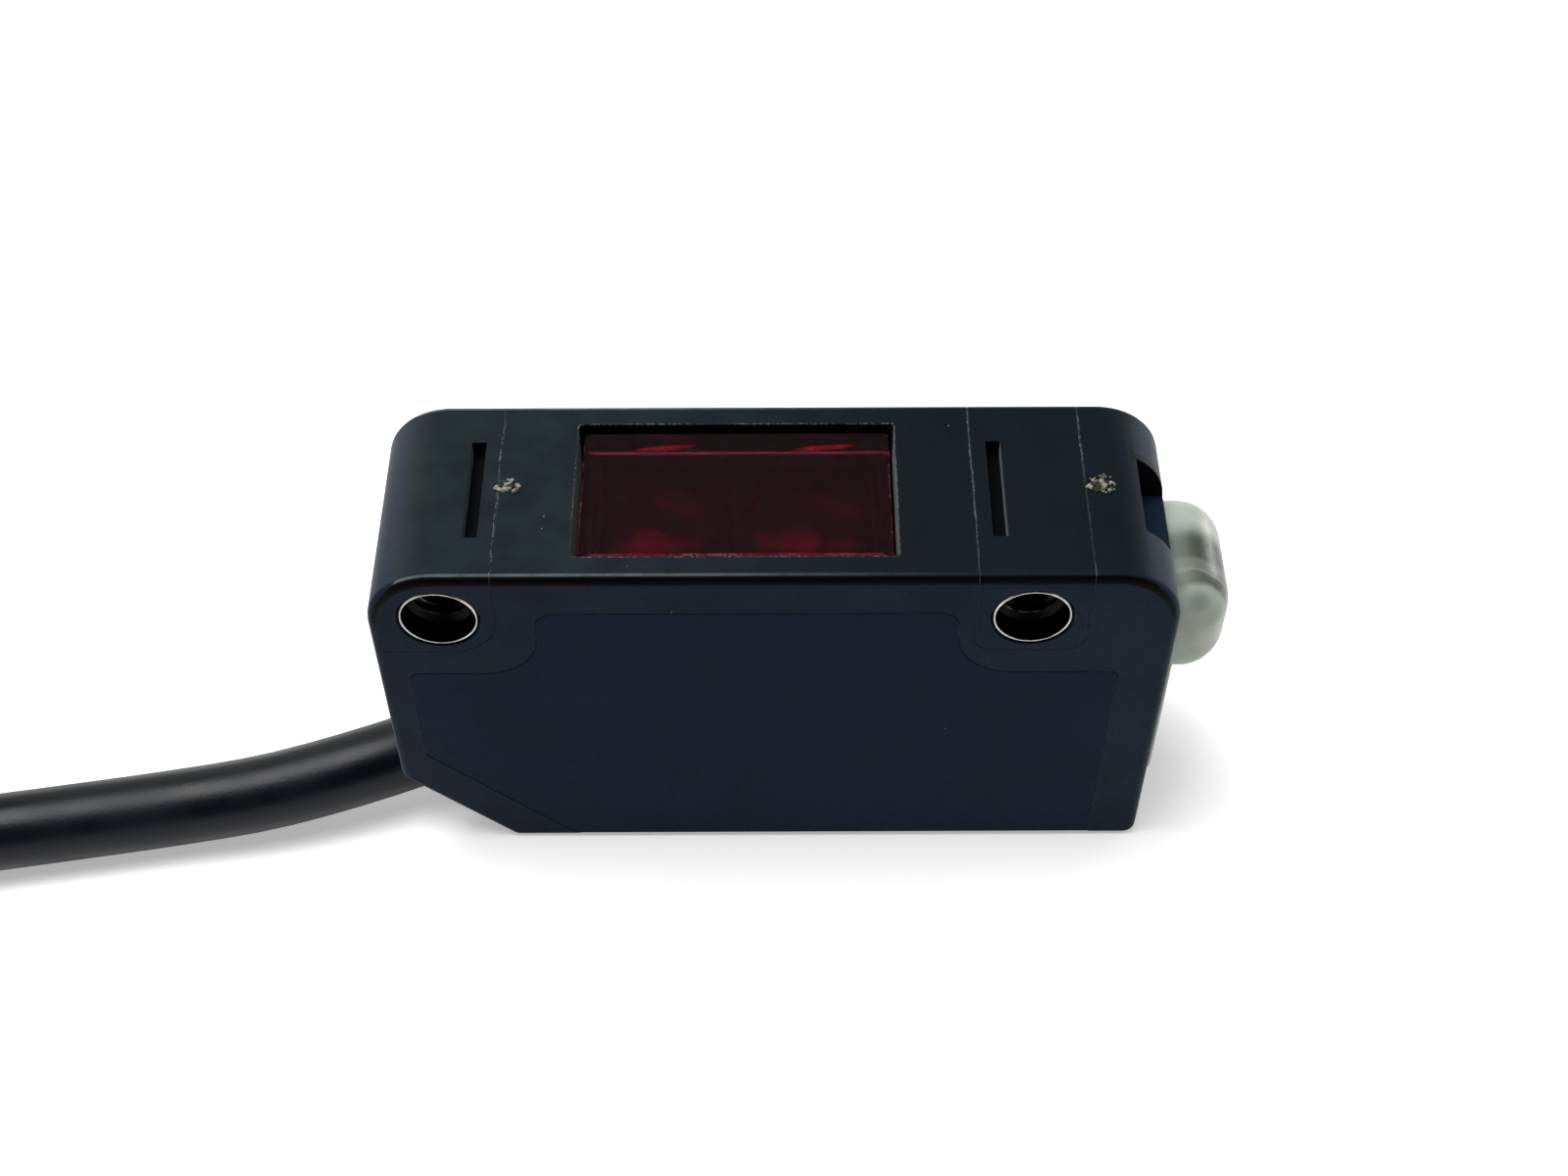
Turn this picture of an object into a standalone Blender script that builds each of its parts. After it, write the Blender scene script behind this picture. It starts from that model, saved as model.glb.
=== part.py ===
"""Slim photoelectric sensor, lying on its back with its lens window up.

+X runs along the body to the indicator, +Y to the plain side and +Z out of the lens window. The origin is on
the back face, midway along the body. Lengths are in metres. The lead is laid out on the surface that the
sensor lies on, and most of it is tied up in a hank.
"""

import math

import bmesh
import bpy
import numpy as np
from mathutils import Matrix, Vector

# Body
BODY_LENGTH = 0.0349
BODY_WIDTH = 0.0102
BODY_DEPTH = 0.01955
END_CORNER_RADIUS = 0.0031
EDGE_RADIUS = 0.00035
CHAMFER_ALONG = 0.00487
CHAMFER_UP = 0.00495
FOOT_CORNER_RADIUS = 0.0006
FAR_WALL = 0.0011
BACK_WALL = 0.0012

# Clearances
SEAT_GAP = 0.0002
RUNNING_GAP = 0.00008
CORD_GAP = 0.0003
OVERSHOOT = 0.001

# Threaded sleeves and the corner blocks that carry them
INSERT_PITCH = 0.0254
INSERT_FROM_END = 0.0031
INSERT_FROM_LENS_FACE = 0.00265
SLEEVE_RADIUS = 0.00173
SLEEVE_BORE_RADIUS = 0.00125
SLEEVE_LEAD_IN = 0.0003
SLEEVE_SET_BACK = 0.0001
CARRIER_BESIDE = 0.00242
CARRIER_BELOW = 0.0022
LEFT_CARRIER_RADIUS = 0.0021
RIGHT_CARRIER_RADIUS = 0.0009
SLOT_FROM_INSERT = 0.00141
SLOT_WIDTH = 0.00065
SLOT_LENGTH = 0.0055
SLOT_DEPTH = 0.0005

# Side cover
COVER_THICKNESS = 0.0012
COVER_LEDGE = 0.0008
COVER_FROM_LEFT_END = 0.0014
COVER_FROM_RIGHT_END = 0.0023
COVER_FROM_LENS_FACE = 0.0023
COVER_FROM_CHAMFER = 0.00235
COVER_BOTTOM = 0.0003
COVER_BELOW_INSERT = 0.0038
COVER_BESIDE_LEFT_INSERT = 0.0041
COVER_BESIDE_RIGHT_INSERT = 0.0031
COVER_SWEEP_RADIUS = 0.0025
COVER_SHOULDER_RADIUS = 0.0009
COVER_CORNER_RADIUS = 0.0004

# Window and optics
WINDOW_LENGTH = 0.0135
WINDOW_WIDTH = 0.00685
WINDOW_THICKNESS = 0.0012
WINDOW_SET_BACK = 0.00038
WINDOW_CORNER_RADIUS = 0.0003
SEAL_THICKNESS = 0.0003
SEAL_WIDTH = 0.0005
LENS_SPACING = 0.0067
LENS_RADIUS = 0.00305
LENS_RIM = 0.00095
LENS_CROWN = 0.0011
LENS_SEAT_DEPTH = 0.0014
HOLDER_LENGTH = 0.0144
HOLDER_HEIGHT = 0.0036
HOLDER_TO_WALL = 0.0003
CHANNEL_TOP_RADIUS = 0.0026
CHANNEL_FOOT_RADIUS = 0.0013
CHIP_SIDE = 0.0022
CHIP_THICKNESS = 0.0010
CHIP_LENS_RADIUS = 0.0008
SHIELD_LENGTH = 0.0036
SHIELD_WIDTH = 0.0042
SHIELD_HEIGHT = 0.0022
SHIELD_WALL = 0.0003

# Circuit board and what is on it
BOARD_THICKNESS = 0.0008
BOARD_STANDOFF = 0.0003
BOARD_EDGE_GAP = 0.0004
BOARD_CORNER_CUT = 0.0015
CONTROL_CHIP_SIZE = (0.0050, 0.0007, 0.0040)
CONTROL_CHIP_AT = (-0.0020, 0.0060)
TRANSISTOR_SIZE = (0.0020, 0.0010, 0.0018)
TRANSISTOR_AT = (0.0029, 0.0075)
CAPACITOR_SIZE = (0.0017, 0.0014, 0.0020)
CAPACITOR_AT = (-0.0077, 0.0088)

# Indicator cap and its lamps
CAP_REACH = 0.00285
CAP_WIDTH = 0.0072
CAP_HEIGHT = 0.0058
CAP_FROM_LENS_FACE = 0.00358
CAP_CORNER_RADIUS = 0.00215
CAP_EDGE_RADIUS = 0.0020
FLANGE_WIDTH = 0.0090
FLANGE_FOOT = 0.0041
FLANGE_BELOW_CAP_TOP = 0.00107
FLANGE_PROUD = 0.0004
FLANGE_GAP = 0.0001
STEM_WIDTH = 0.0048
STEM_HEIGHT = 0.0030
STEM_TO_LAMP = 0.0004
LAMP_LENGTH = 0.0012
LAMP_WIDTH = 0.0015
LAMP_HEIGHT = 0.0011
NOTCH_LENGTH = 0.0015
NOTCH_WIDTH = 0.0042
NOTCH_DEPTH = 0.00295

# Trimmer and selector, in wells in the back face
TRIMMER_FROM_RIGHT_END = 0.00645
SELECTOR_FROM_RIGHT_END = 0.01225
WELL_RADIUS = 0.0022
ROTOR_RADIUS = 0.0015
ROTOR_RECESS = 0.0004
ROTOR_HEAD = 0.0009
ROTOR_STEM_RADIUS = 0.0008
ROTOR_STEM = 0.0027
ROTOR_SLOT_WIDTH = 0.0005
ROTOR_SLOT_DEPTH = 0.0004
CONTROL_SEAL_HEIGHT = 0.0006
CONTROL_BODY_SIDE = 0.0040
CONTROL_BODY_HEIGHT = 0.0032

# Lead, its bushing and its cores
CABLE_RADIUS = 0.00185
BUSHING_RADIUS = 0.0021
BUSHING_GAP = 0.00015
BUSHING_OUT = 0.0032
BUSHING_IN = 0.0042
EXIT_FROM_LEFT_END = 0.0038
EXIT_ACROSS = -0.0002
EXIT_HEIGHT = 0.0026
EXIT_YAW = math.radians(22)
CORE_RADIUS = 0.0004
CORE_OFFSET = 0.0005
CORE_ASIDE = 0.0008
PADS_FROM_LEFT_END = (0.01005, 0.01145)
PADS_ABOVE_EXIT = (-0.0002, 0.0010)

# Route of the lead on the surface, from the bushing to the hank
CABLE_REST = 0.0019
CABLE_ROUTE = (
    (-0.0245, -0.0040, 0.00225),
    (-0.0290, -0.0047, 0.00195),
    (-0.0340, -0.0055, CABLE_REST),
    (-0.0395, -0.0064, CABLE_REST),
    (-0.0455, -0.0075, CABLE_REST),
    (-0.0510, -0.0083, CABLE_REST),
    (-0.0565, -0.0087, CABLE_REST),
    (-0.0605, -0.0087, CABLE_REST),
)
ROUTE_SPACING = 0.0070

# Hank
FOLD_RADIUS = 0.0112
LOOP_STEP = 0.0045
LAYER_RISE = 0.0043
RUN_HALF = 0.0280
WAIST_DRAW = 0.0075
WAIST_LIFT = 0.0012
HANK_LAYERS = 6
LAYER_LOOPS = 1.5
RUN_POINTS = 5
FOLD_POINTS = 7
LAST_RUN_SHARE = 2.9

# Tie and stripped ends
TIE_WIDTH = 0.0060
TIE_THICKNESS = 0.0008
TIE_CORNER_RADIUS = 0.0025
LEAD_RADIUS = 0.00045
LEAD_TIP_RADIUS = 0.0003
LEAD_SPACING = 0.0013
LEAD_LENGTH = 0.0600
LEAD_TIP_LENGTH = 0.0060
LEAD_POINTS = 12

# Fineness of round shapes
ARC_STEP = math.radians(15)
ROUND_SIDES = 32

# Places that follow from the sizes above
LEFT_END = -BODY_LENGTH / 2
RIGHT_END = BODY_LENGTH / 2
NEAR_SIDE = -BODY_WIDTH / 2
FAR_SIDE = BODY_WIDTH / 2
LENS_FACE = BODY_DEPTH
INSERT_LEFT = LEFT_END + INSERT_FROM_END
INSERT_RIGHT = INSERT_LEFT + INSERT_PITCH
INSERT_HEIGHT = LENS_FACE - INSERT_FROM_LENS_FACE
OPTICS_MIDDLE = (INSERT_LEFT + INSERT_RIGHT) / 2
COVER_INSIDE = NEAR_SIDE + COVER_THICKNESS
CAVITY_FAR = FAR_SIDE - FAR_WALL
CAVITY_TOP = LENS_FACE - COVER_FROM_LENS_FACE - COVER_LEDGE
WINDOW_TOP = LENS_FACE - WINDOW_SET_BACK
WINDOW_FOOT = WINDOW_TOP - WINDOW_THICKNESS
SEAL_FOOT = WINDOW_FOOT - SEAT_GAP - SEAL_THICKNESS
WINDOW_LEDGE = SEAL_FOOT - SEAT_GAP
HOLDER_TOP = CAVITY_TOP - SEAT_GAP
HOLDER_FOOT = HOLDER_TOP - HOLDER_HEIGHT
EMITTER_X = OPTICS_MIDDLE - LENS_SPACING / 2
RECEIVER_X = OPTICS_MIDDLE + LENS_SPACING / 2
BOARD_FAR = CAVITY_FAR - BOARD_STANDOFF
BOARD_FACE = BOARD_FAR - BOARD_THICKNESS
BOARD_TOP = INSERT_HEIGHT - COVER_BELOW_INSERT - COVER_LEDGE - BOARD_EDGE_GAP
STEM_FOOT = BOARD_TOP - STEM_HEIGHT
CAP_TOP = LENS_FACE - CAP_FROM_LENS_FACE
CAP_MIDDLE = CAP_TOP - CAP_HEIGHT / 2
CABLE_DIAMETER = 2 * CABLE_RADIUS
EXIT_POINT = Vector((LEFT_END + EXIT_FROM_LEFT_END, EXIT_ACROSS, EXIT_HEIGHT))
EXIT_DIRECTION = Vector((-math.cos(EXIT_YAW), -math.sin(EXIT_YAW), 0))
HANK_LOOPS = int(HANK_LAYERS * LAYER_LOOPS)
LOOP_POINTS = 2 * (RUN_POINTS + FOLD_POINTS)
HALF_RUN_TURN = RUN_POINTS / 2 / LOOP_POINTS


def clear_scene():
    """Removes whatever the scene holds."""
    for obj in list(bpy.data.objects):
        bpy.data.objects.remove(obj, do_unlink=True)


def material(name, colour, roughness, metallic=0.0, transmission=0.0):
    """A plain finish: colour, roughness, and metal or clear plastic where it is either."""
    made = bpy.data.materials.new(name)
    made.use_nodes = True
    shader = made.node_tree.nodes["Principled BSDF"]
    shader.inputs["Base Color"].default_value = (*colour, 1)
    shader.inputs["Roughness"].default_value = roughness
    shader.inputs["Metallic"].default_value = metallic
    shader.inputs["Transmission Weight"].default_value = transmission
    made.diffuse_color = (*colour, 1)
    return made


def make_finishes():
    """Every finish on the object, by name."""
    return {
        "case": material("case_black", (0.018, 0.020, 0.023), 0.55),
        "cover": material("cover_black", (0.016, 0.018, 0.026), 0.60),
        "window": material("window_red", (0.16, 0.006, 0.012), 0.12, transmission=0.7),
        "lens": material("lens_red", (0.55, 0.03, 0.04), 0.08, transmission=0.8),
        "frosted": material("frosted_cap", (0.62, 0.66, 0.62), 0.40, transmission=0.4),
        "sleeve": material("sleeve_steel", (0.62, 0.60, 0.57), 0.28, metallic=1.0),
        "rubber": material("seal_rubber", (0.015, 0.015, 0.016), 0.75),
        "jacket": material("cable_jacket", (0.014, 0.014, 0.015), 0.60),
        "board": material("board_green", (0.02, 0.16, 0.07), 0.45),
        "chip": material("chip_black", (0.02, 0.02, 0.02), 0.50),
        "shield": material("shield_tin", (0.70, 0.70, 0.68), 0.30, metallic=1.0),
        "tantalum": material("capacitor_ochre", (0.55, 0.32, 0.06), 0.45),
        "lamp_red": material("lamp_red", (0.80, 0.06, 0.04), 0.25),
        "lamp_orange": material("lamp_orange", (0.85, 0.30, 0.04), 0.25),
        "lamp_green": material("lamp_green", (0.10, 0.60, 0.12), 0.25),
        "diode": material("photodiode_black", (0.03, 0.02, 0.03), 0.20),
        "rotor": material("rotor_white", (0.75, 0.74, 0.70), 0.45),
        "control": material("control_grey", (0.10, 0.11, 0.12), 0.50),
        "strap": material("strap_black", (0.02, 0.02, 0.02), 0.70),
        "brown": material("core_brown", (0.16, 0.06, 0.025), 0.45),
        "blue": material("core_blue", (0.02, 0.09, 0.40), 0.45),
        "black": material("core_black", (0.015, 0.015, 0.015), 0.45),
        "white": material("core_white", (0.75, 0.75, 0.73), 0.45),
    }


def add_mesh(name, bm, finish=None, location=(0, 0, 0)):
    """Turns a bmesh into a named object, smooth where its faces meet at a small angle."""
    mesh = bpy.data.meshes.new(name)
    bm.to_mesh(mesh)
    bm.free()
    mesh.shade_smooth()
    mesh.set_sharp_from_angle(angle=math.radians(35))
    if finish is not None:
        mesh.materials.append(finish)
    obj = bpy.data.objects.new(name, mesh)
    obj.location = location
    bpy.context.scene.collection.objects.link(obj)
    return obj


def as_cutter(obj):
    """Marks an object as a helper that only shapes others."""
    obj.hide_render = True
    obj.display_type = "WIRE"
    return obj


def shape_with(target, other, operation):
    """Adds a Boolean to the target and keeps the other object as a helper."""
    modifier = target.modifiers.new(f"{operation.lower()}_{other.name}", "BOOLEAN")
    modifier.operation = operation
    modifier.object = as_cutter(other)


def cut(target, *cutters):
    """Takes each cutter out of the target."""
    for cutter in cutters:
        shape_with(target, cutter, "DIFFERENCE")


def rounded(corners):
    """An outline from (across, up, radius) corners, each turned into an arc of its radius."""
    outline = []
    for index, (across, up, radius) in enumerate(corners):
        corner = Vector((across, up))
        if radius <= 0:
            outline.append(corner)
            continue
        back = (Vector(corners[index - 1][:2]) - corner).normalized()
        onward = (Vector(corners[(index + 1) % len(corners)][:2]) - corner).normalized()
        half = back.angle(onward) / 2
        centre = corner + (back + onward).normalized() * radius / math.sin(half)
        start = corner + back * radius / math.tan(half) - centre
        end = corner + onward * radius / math.tan(half) - centre
        sweep = math.atan2(start.cross(end), start.dot(end))
        steps = max(2, math.ceil(abs(sweep) / ARC_STEP))
        for step in range(steps + 1):
            turned = Matrix.Rotation(sweep * step / steps, 2) @ start
            outline.append(centre + turned)
    return outline


def inset(corners, distance):
    """The corners of an anticlockwise outline moved inwards, or outwards where the distance is negative."""
    moved = []
    for index, (across, up, radius) in enumerate(corners):
        corner = Vector((across, up))
        arriving = (corner - Vector(corners[index - 1][:2])).normalized()
        leaving = (Vector(corners[(index + 1) % len(corners)][:2]) - corner).normalized()
        first = Vector((-arriving.y, arriving.x))
        second = Vector((-leaving.y, leaving.x))
        place = corner + (first + second) * distance / (1 + first.dot(second))
        change = -distance if arriving.cross(leaving) > 0 else distance
        moved.append((place.x, place.y, max(radius + change, 0) if radius > 0 else 0))
    return moved


def rectangle(middle, size, radius=0.0):
    """The corners of a rectangle, anticlockwise from its low corner."""
    low = (middle[0] - size[0] / 2, middle[1] - size[1] / 2)
    high = (middle[0] + size[0] / 2, middle[1] + size[1] / 2)
    return [
        (low[0], low[1], radius),
        (high[0], low[1], radius),
        (high[0], high[1], radius),
        (low[0], high[1], radius),
    ]


def prism_shape(corners, axis, low, high):
    """A bmesh of an outline drawn out along X, Y or Z between two heights."""
    bm = bmesh.new()
    order = {"X": (2, 0, 1), "Y": (0, 2, 1), "Z": (0, 1, 2)}[axis]
    along = Vector([float(order[k] == 2) for k in range(3)])
    points = [(point.x, point.y, low) for point in rounded(corners)]
    verts = [bm.verts.new([point[order[k]] for k in range(3)]) for point in points]
    face = bm.faces.new(verts)
    grown = bmesh.ops.extrude_face_region(bm, geom=[face])["geom"]
    moved = [item for item in grown if isinstance(item, bmesh.types.BMVert)]
    bmesh.ops.translate(bm, verts=moved, vec=along * (high - low))
    bmesh.ops.recalc_face_normals(bm, faces=bm.faces)
    return bm


def prism(name, corners, axis, low, high, finish=None):
    """An outline drawn out along X, Y or Z, as an object."""
    return add_mesh(name, prism_shape(corners, axis, low, high), finish)


def block(name, low, high, finish=None):
    """A plain block between two corners, with its origin in its middle."""
    bm = bmesh.new()
    size = Vector(high) - Vector(low)
    bmesh.ops.create_cube(bm, size=1.0, matrix=Matrix.Diagonal((*size, 1)))
    return add_mesh(name, bm, finish, (Vector(low) + Vector(high)) / 2)


def cone(name, middle, axis, foot_radius, top_radius, length, finish=None):
    """A round bar or cone about a point, along an axis."""
    bm = bmesh.new()
    turn = Vector(axis).to_track_quat("Z", "Y").to_matrix().to_4x4()
    bmesh.ops.create_cone(
        bm,
        cap_ends=True,
        segments=ROUND_SIDES,
        radius1=foot_radius,
        radius2=top_radius,
        depth=length,
        matrix=turn,
    )
    return add_mesh(name, bm, finish, middle)


def turned_ring(profile):
    """A bmesh of a closed (radius, height) profile turned about Z."""
    bm = bmesh.new()
    verts = [bm.verts.new((radius, 0, height)) for radius, height in profile]
    edges = [bm.edges.new((verts[k - 1], verts[k])) for k in range(len(verts))]
    turn_about_z(bm, verts + edges)
    return bm


def turned_solid(profile):
    """A bmesh of an open (radius, height) profile, from axis to axis, turned about Z."""
    bm = bmesh.new()
    verts = [bm.verts.new((radius, 0, height)) for radius, height in profile]
    edges = [bm.edges.new(pair) for pair in zip(verts, verts[1:])]
    turn_about_z(bm, verts + edges)
    return bm


def turn_about_z(bm, shape):
    """Spins edges a full turn and closes the surface."""
    bmesh.ops.spin(
        bm,
        geom=shape,
        cent=(0, 0, 0),
        axis=(0, 0, 1),
        angle=2 * math.pi,
        steps=ROUND_SIDES,
        use_merge=True,
        use_duplicate=False,
    )
    bmesh.ops.remove_doubles(bm, verts=bm.verts, dist=1e-7)
    bmesh.ops.recalc_face_normals(bm, faces=bm.faces)


def tube(name, points, radius, sides_step, finish, radii=None):
    """A round tube along points, with closed ends. Radii, where given, scale it at each point."""
    curve = bpy.data.curves.new(name, "CURVE")
    curve.dimensions = "3D"
    curve.fill_mode = "FULL"
    curve.bevel_depth = radius
    curve.bevel_resolution = sides_step
    curve.use_fill_caps = True
    spline = curve.splines.new("POLY")
    spline.points.add(len(points) - 1)
    for index, point in enumerate(points):
        spline.points[index].co = (*point, 1)
        spline.points[index].radius = radii[index] if radii else 1.0
    curve.materials.append(finish)
    obj = bpy.data.objects.new(name, curve)
    bpy.context.scene.collection.objects.link(obj)
    return obj


def smooth_route(points, spacing):
    """Points at a steady spacing along a smooth curve through the given ones."""
    given = np.array(points, float)
    padded = np.vstack([2 * given[0] - given[1], given, 2 * given[-1] - given[-2]])
    fine = []
    for p0, p1, p2, p3 in zip(padded, padded[1:], padded[2:], padded[3:]):
        for t in np.linspace(0, 1, 24, endpoint=False):
            bend = 2 * p0 - 5 * p1 + 4 * p2 - p3
            twist = 3 * p1 - p0 - 3 * p2 + p3
            fine.append(p1 + 0.5 * t * ((p2 - p0) + t * (bend + t * twist)))
    fine = np.array([*fine, given[-1]])
    lengths = np.concatenate([[0], np.cumsum(np.linalg.norm(np.diff(fine, axis=0), axis=1))])
    count = max(2, round(lengths[-1] / spacing) + 1)
    stations = np.linspace(0, lengths[-1], count)
    return np.stack([np.interp(stations, lengths, fine[:, k]) for k in range(3)], axis=1)


def path_length(points):
    """The length of a line of points."""
    return float(np.linalg.norm(np.diff(points, axis=0), axis=1).sum())


def least_gap(points, diameter):
    """The least free space between two stretches of a tube that aren't next to each other."""
    stations = smooth_free_samples(points, diameter / 2)
    along = np.concatenate(
        [[0], np.cumsum(np.linalg.norm(np.diff(stations, axis=0), axis=1))]
    )
    nearest = math.inf
    for index, point in enumerate(stations):
        apart = np.linalg.norm(stations - point, axis=1)
        apart[np.abs(along - along[index]) < 4 * diameter] = math.inf
        nearest = min(nearest, apart.min())
    return nearest - diameter


def smooth_free_samples(points, spacing):
    """Points at a steady spacing along straight stretches between the given points."""
    given = np.array(points, float)
    lengths = np.concatenate([[0], np.cumsum(np.linalg.norm(np.diff(given, axis=0), axis=1))])
    stations = np.arange(0, lengths[-1], spacing)
    return np.stack([np.interp(stations, lengths, given[:, k]) for k in range(3)], axis=1)


def body_corners():
    """The body's outline seen from the cover side, with the slanted corner at the lead's end."""
    return [
        (LEFT_END + CHAMFER_ALONG, 0, FOOT_CORNER_RADIUS),
        (RIGHT_END, 0, FOOT_CORNER_RADIUS),
        (RIGHT_END, LENS_FACE, END_CORNER_RADIUS),
        (LEFT_END, LENS_FACE, END_CORNER_RADIUS),
        (LEFT_END, CHAMFER_UP, FOOT_CORNER_RADIUS),
    ]


def body_blank(name, finish=None):
    """The whole outer form of the body, with its long edges rounded."""
    blank = prism(name, body_corners(), "Y", NEAR_SIDE, FAR_SIDE, finish)
    bevel = blank.modifiers.new("rounded_edges", "BEVEL")
    bevel.width = EDGE_RADIUS
    bevel.segments = 2
    bevel.limit_method = "ANGLE"
    bevel.angle_limit = math.radians(60)
    return blank


def cover_corners(bottom):
    """The side cover's outline, which bends round both inserts and follows the slanted corner."""
    slant = Vector((CHAMFER_UP, CHAMFER_ALONG)).normalized()
    left = LEFT_END + COVER_FROM_LEFT_END
    right = RIGHT_END - COVER_FROM_RIGHT_END
    top = LENS_FACE - COVER_FROM_LENS_FACE
    shoulder = INSERT_HEIGHT - COVER_BELOW_INSERT
    sweep_left = INSERT_LEFT + COVER_BESIDE_LEFT_INSERT
    sweep_right = INSERT_RIGHT - COVER_BESIDE_RIGHT_INSERT
    slant_top = CHAMFER_UP + (COVER_FROM_CHAMFER - slant.x * (left - LEFT_END)) / slant.y
    slant_foot = LEFT_END + (COVER_FROM_CHAMFER - slant.y * (bottom - CHAMFER_UP)) / slant.x
    return [
        (slant_foot, bottom, 0),
        (right, bottom, 0),
        (right, shoulder, COVER_CORNER_RADIUS),
        (sweep_right, shoulder, COVER_SWEEP_RADIUS),
        (sweep_right, top, COVER_SHOULDER_RADIUS),
        (sweep_left, top, COVER_SHOULDER_RADIUS),
        (sweep_left, shoulder, COVER_SWEEP_RADIUS),
        (left, shoulder, COVER_CORNER_RADIUS),
        (left, slant_top, COVER_CORNER_RADIUS),
    ]


def cavity_corners():
    """The outline of the hollow behind the cover."""
    return inset(cover_corners(BACK_WALL - COVER_LEDGE), COVER_LEDGE)


def left_carrier_corners():
    """The left corner block, taken past the body on its outer sides."""
    right = INSERT_LEFT + CARRIER_BESIDE
    foot = INSERT_HEIGHT - CARRIER_BELOW
    return [
        (LEFT_END - OVERSHOOT, foot, 0),
        (right, foot, LEFT_CARRIER_RADIUS),
        (right, LENS_FACE + OVERSHOOT, 0),
        (LEFT_END - OVERSHOOT, LENS_FACE + OVERSHOOT, 0),
    ]


def right_carrier_corners():
    """The right insert's block, taken past the lens face."""
    left = INSERT_RIGHT - CARRIER_BESIDE
    right = INSERT_RIGHT + CARRIER_BESIDE
    foot = INSERT_HEIGHT - CARRIER_BELOW
    return [
        (left, foot, RIGHT_CARRIER_RADIUS),
        (right, foot, RIGHT_CARRIER_RADIUS),
        (right, LENS_FACE + OVERSHOOT, 0),
        (left, LENS_FACE + OVERSHOOT, 0),
    ]


def window_corners(grow):
    """The window's outline on the lens face, grown on every side."""
    size = (WINDOW_LENGTH + 2 * grow, WINDOW_WIDTH + 2 * grow)
    return rectangle((OPTICS_MIDDLE, 0), size, WINDOW_CORNER_RADIUS)


def make_housing(finishes):
    """The moulded tub, with pockets for everything that seats in it."""
    housing = body_blank("housing", finishes["case"])
    near = NEAR_SIDE - OVERSHOOT
    far = FAR_SIDE + OVERSHOOT
    cut(
        housing,
        prism("left_pocket", inset(left_carrier_corners(), -SEAT_GAP), "Y", near, far),
        prism("right_pocket", inset(right_carrier_corners(), -SEAT_GAP), "Y", near, far),
        prism(
            "cover_pocket",
            inset(cover_corners(-OVERSHOOT), -SEAT_GAP),
            "Y",
            near,
            COVER_INSIDE + SEAT_GAP,
        ),
        prism("cavity", cavity_corners(), "Y", near, CAVITY_FAR),
        prism("window_pocket", window_corners(SEAT_GAP), "Z", WINDOW_LEDGE, LENS_FACE + OVERSHOOT),
        prism(
            "window_aperture",
            window_corners(-SEAL_WIDTH),
            "Z",
            CAVITY_TOP - OVERSHOOT,
            WINDOW_LEDGE + OVERSHOOT,
        ),
        notch_cutter(),
        stem_hole(),
        well("trimmer_well", RIGHT_END - TRIMMER_FROM_RIGHT_END),
        well("selector_well", RIGHT_END - SELECTOR_FROM_RIGHT_END),
        bushing_hole(),
    )


def notch_cutter():
    """The square notch in the lens-face corner over the indicator."""
    low = (RIGHT_END - NOTCH_LENGTH, -NOTCH_WIDTH / 2, LENS_FACE - NOTCH_DEPTH)
    high = (RIGHT_END + OVERSHOOT, NOTCH_WIDTH / 2, LENS_FACE + OVERSHOOT)
    return block("notch", low, high)


def stem_hole():
    """The opening in the end wall for the indicator cap's stem."""
    inner = RIGHT_END - COVER_FROM_RIGHT_END - COVER_LEDGE - OVERSHOOT
    low = (inner, -STEM_WIDTH / 2 - SEAT_GAP, STEM_FOOT - SEAT_GAP)
    high = (RIGHT_END + OVERSHOOT, STEM_WIDTH / 2 + SEAT_GAP, STEM_FOOT + STEM_HEIGHT + SEAT_GAP)
    return block("stem_hole", low, high)


def well(name, x):
    """A round well through the back wall, for a control's rotor."""
    low = -OVERSHOOT
    high = BACK_WALL + OVERSHOOT
    return cone(name, (x, 0, (low + high) / 2), (0, 0, 1), WELL_RADIUS, WELL_RADIUS, high - low)


def bushing_hole():
    """The slanting hole in the chamfered corner for the lead's bushing."""
    out = BUSHING_OUT + OVERSHOOT
    inward = BUSHING_IN + SEAT_GAP
    middle = EXIT_POINT + EXIT_DIRECTION * (out - inward) / 2
    radius = BUSHING_RADIUS + BUSHING_GAP
    return cone("bushing_hole", middle, EXIT_DIRECTION, radius, radius, out + inward)


def make_cover(finishes):
    """The flush plate that closes the tub."""
    prism("side_cover", cover_corners(COVER_BOTTOM), "Y", NEAR_SIDE, COVER_INSIDE, finishes["cover"])


def make_carrier(side, corners, insert_x, slot_x, finishes):
    """A corner block, cut from the body's outer form, with its screw hole and slot."""
    near = NEAR_SIDE - OVERSHOOT
    far = FAR_SIDE + OVERSHOOT
    carrier = prism(f"insert_carrier_{side}", corners, "Y", near, far, finishes["case"])
    shape_with(carrier, body_blank(f"blank_{side}"), "INTERSECT")
    radius = SLEEVE_RADIUS + SEAT_GAP
    low = (slot_x - SLOT_WIDTH / 2, -SLOT_LENGTH / 2, LENS_FACE - SLOT_DEPTH)
    high = (slot_x + SLOT_WIDTH / 2, SLOT_LENGTH / 2, LENS_FACE + OVERSHOOT)
    cut(
        carrier,
        cone(f"hole_{side}", (insert_x, 0, INSERT_HEIGHT), (0, 1, 0), radius, radius, far - near),
        block(f"slot_{side}", low, high),
    )


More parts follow.
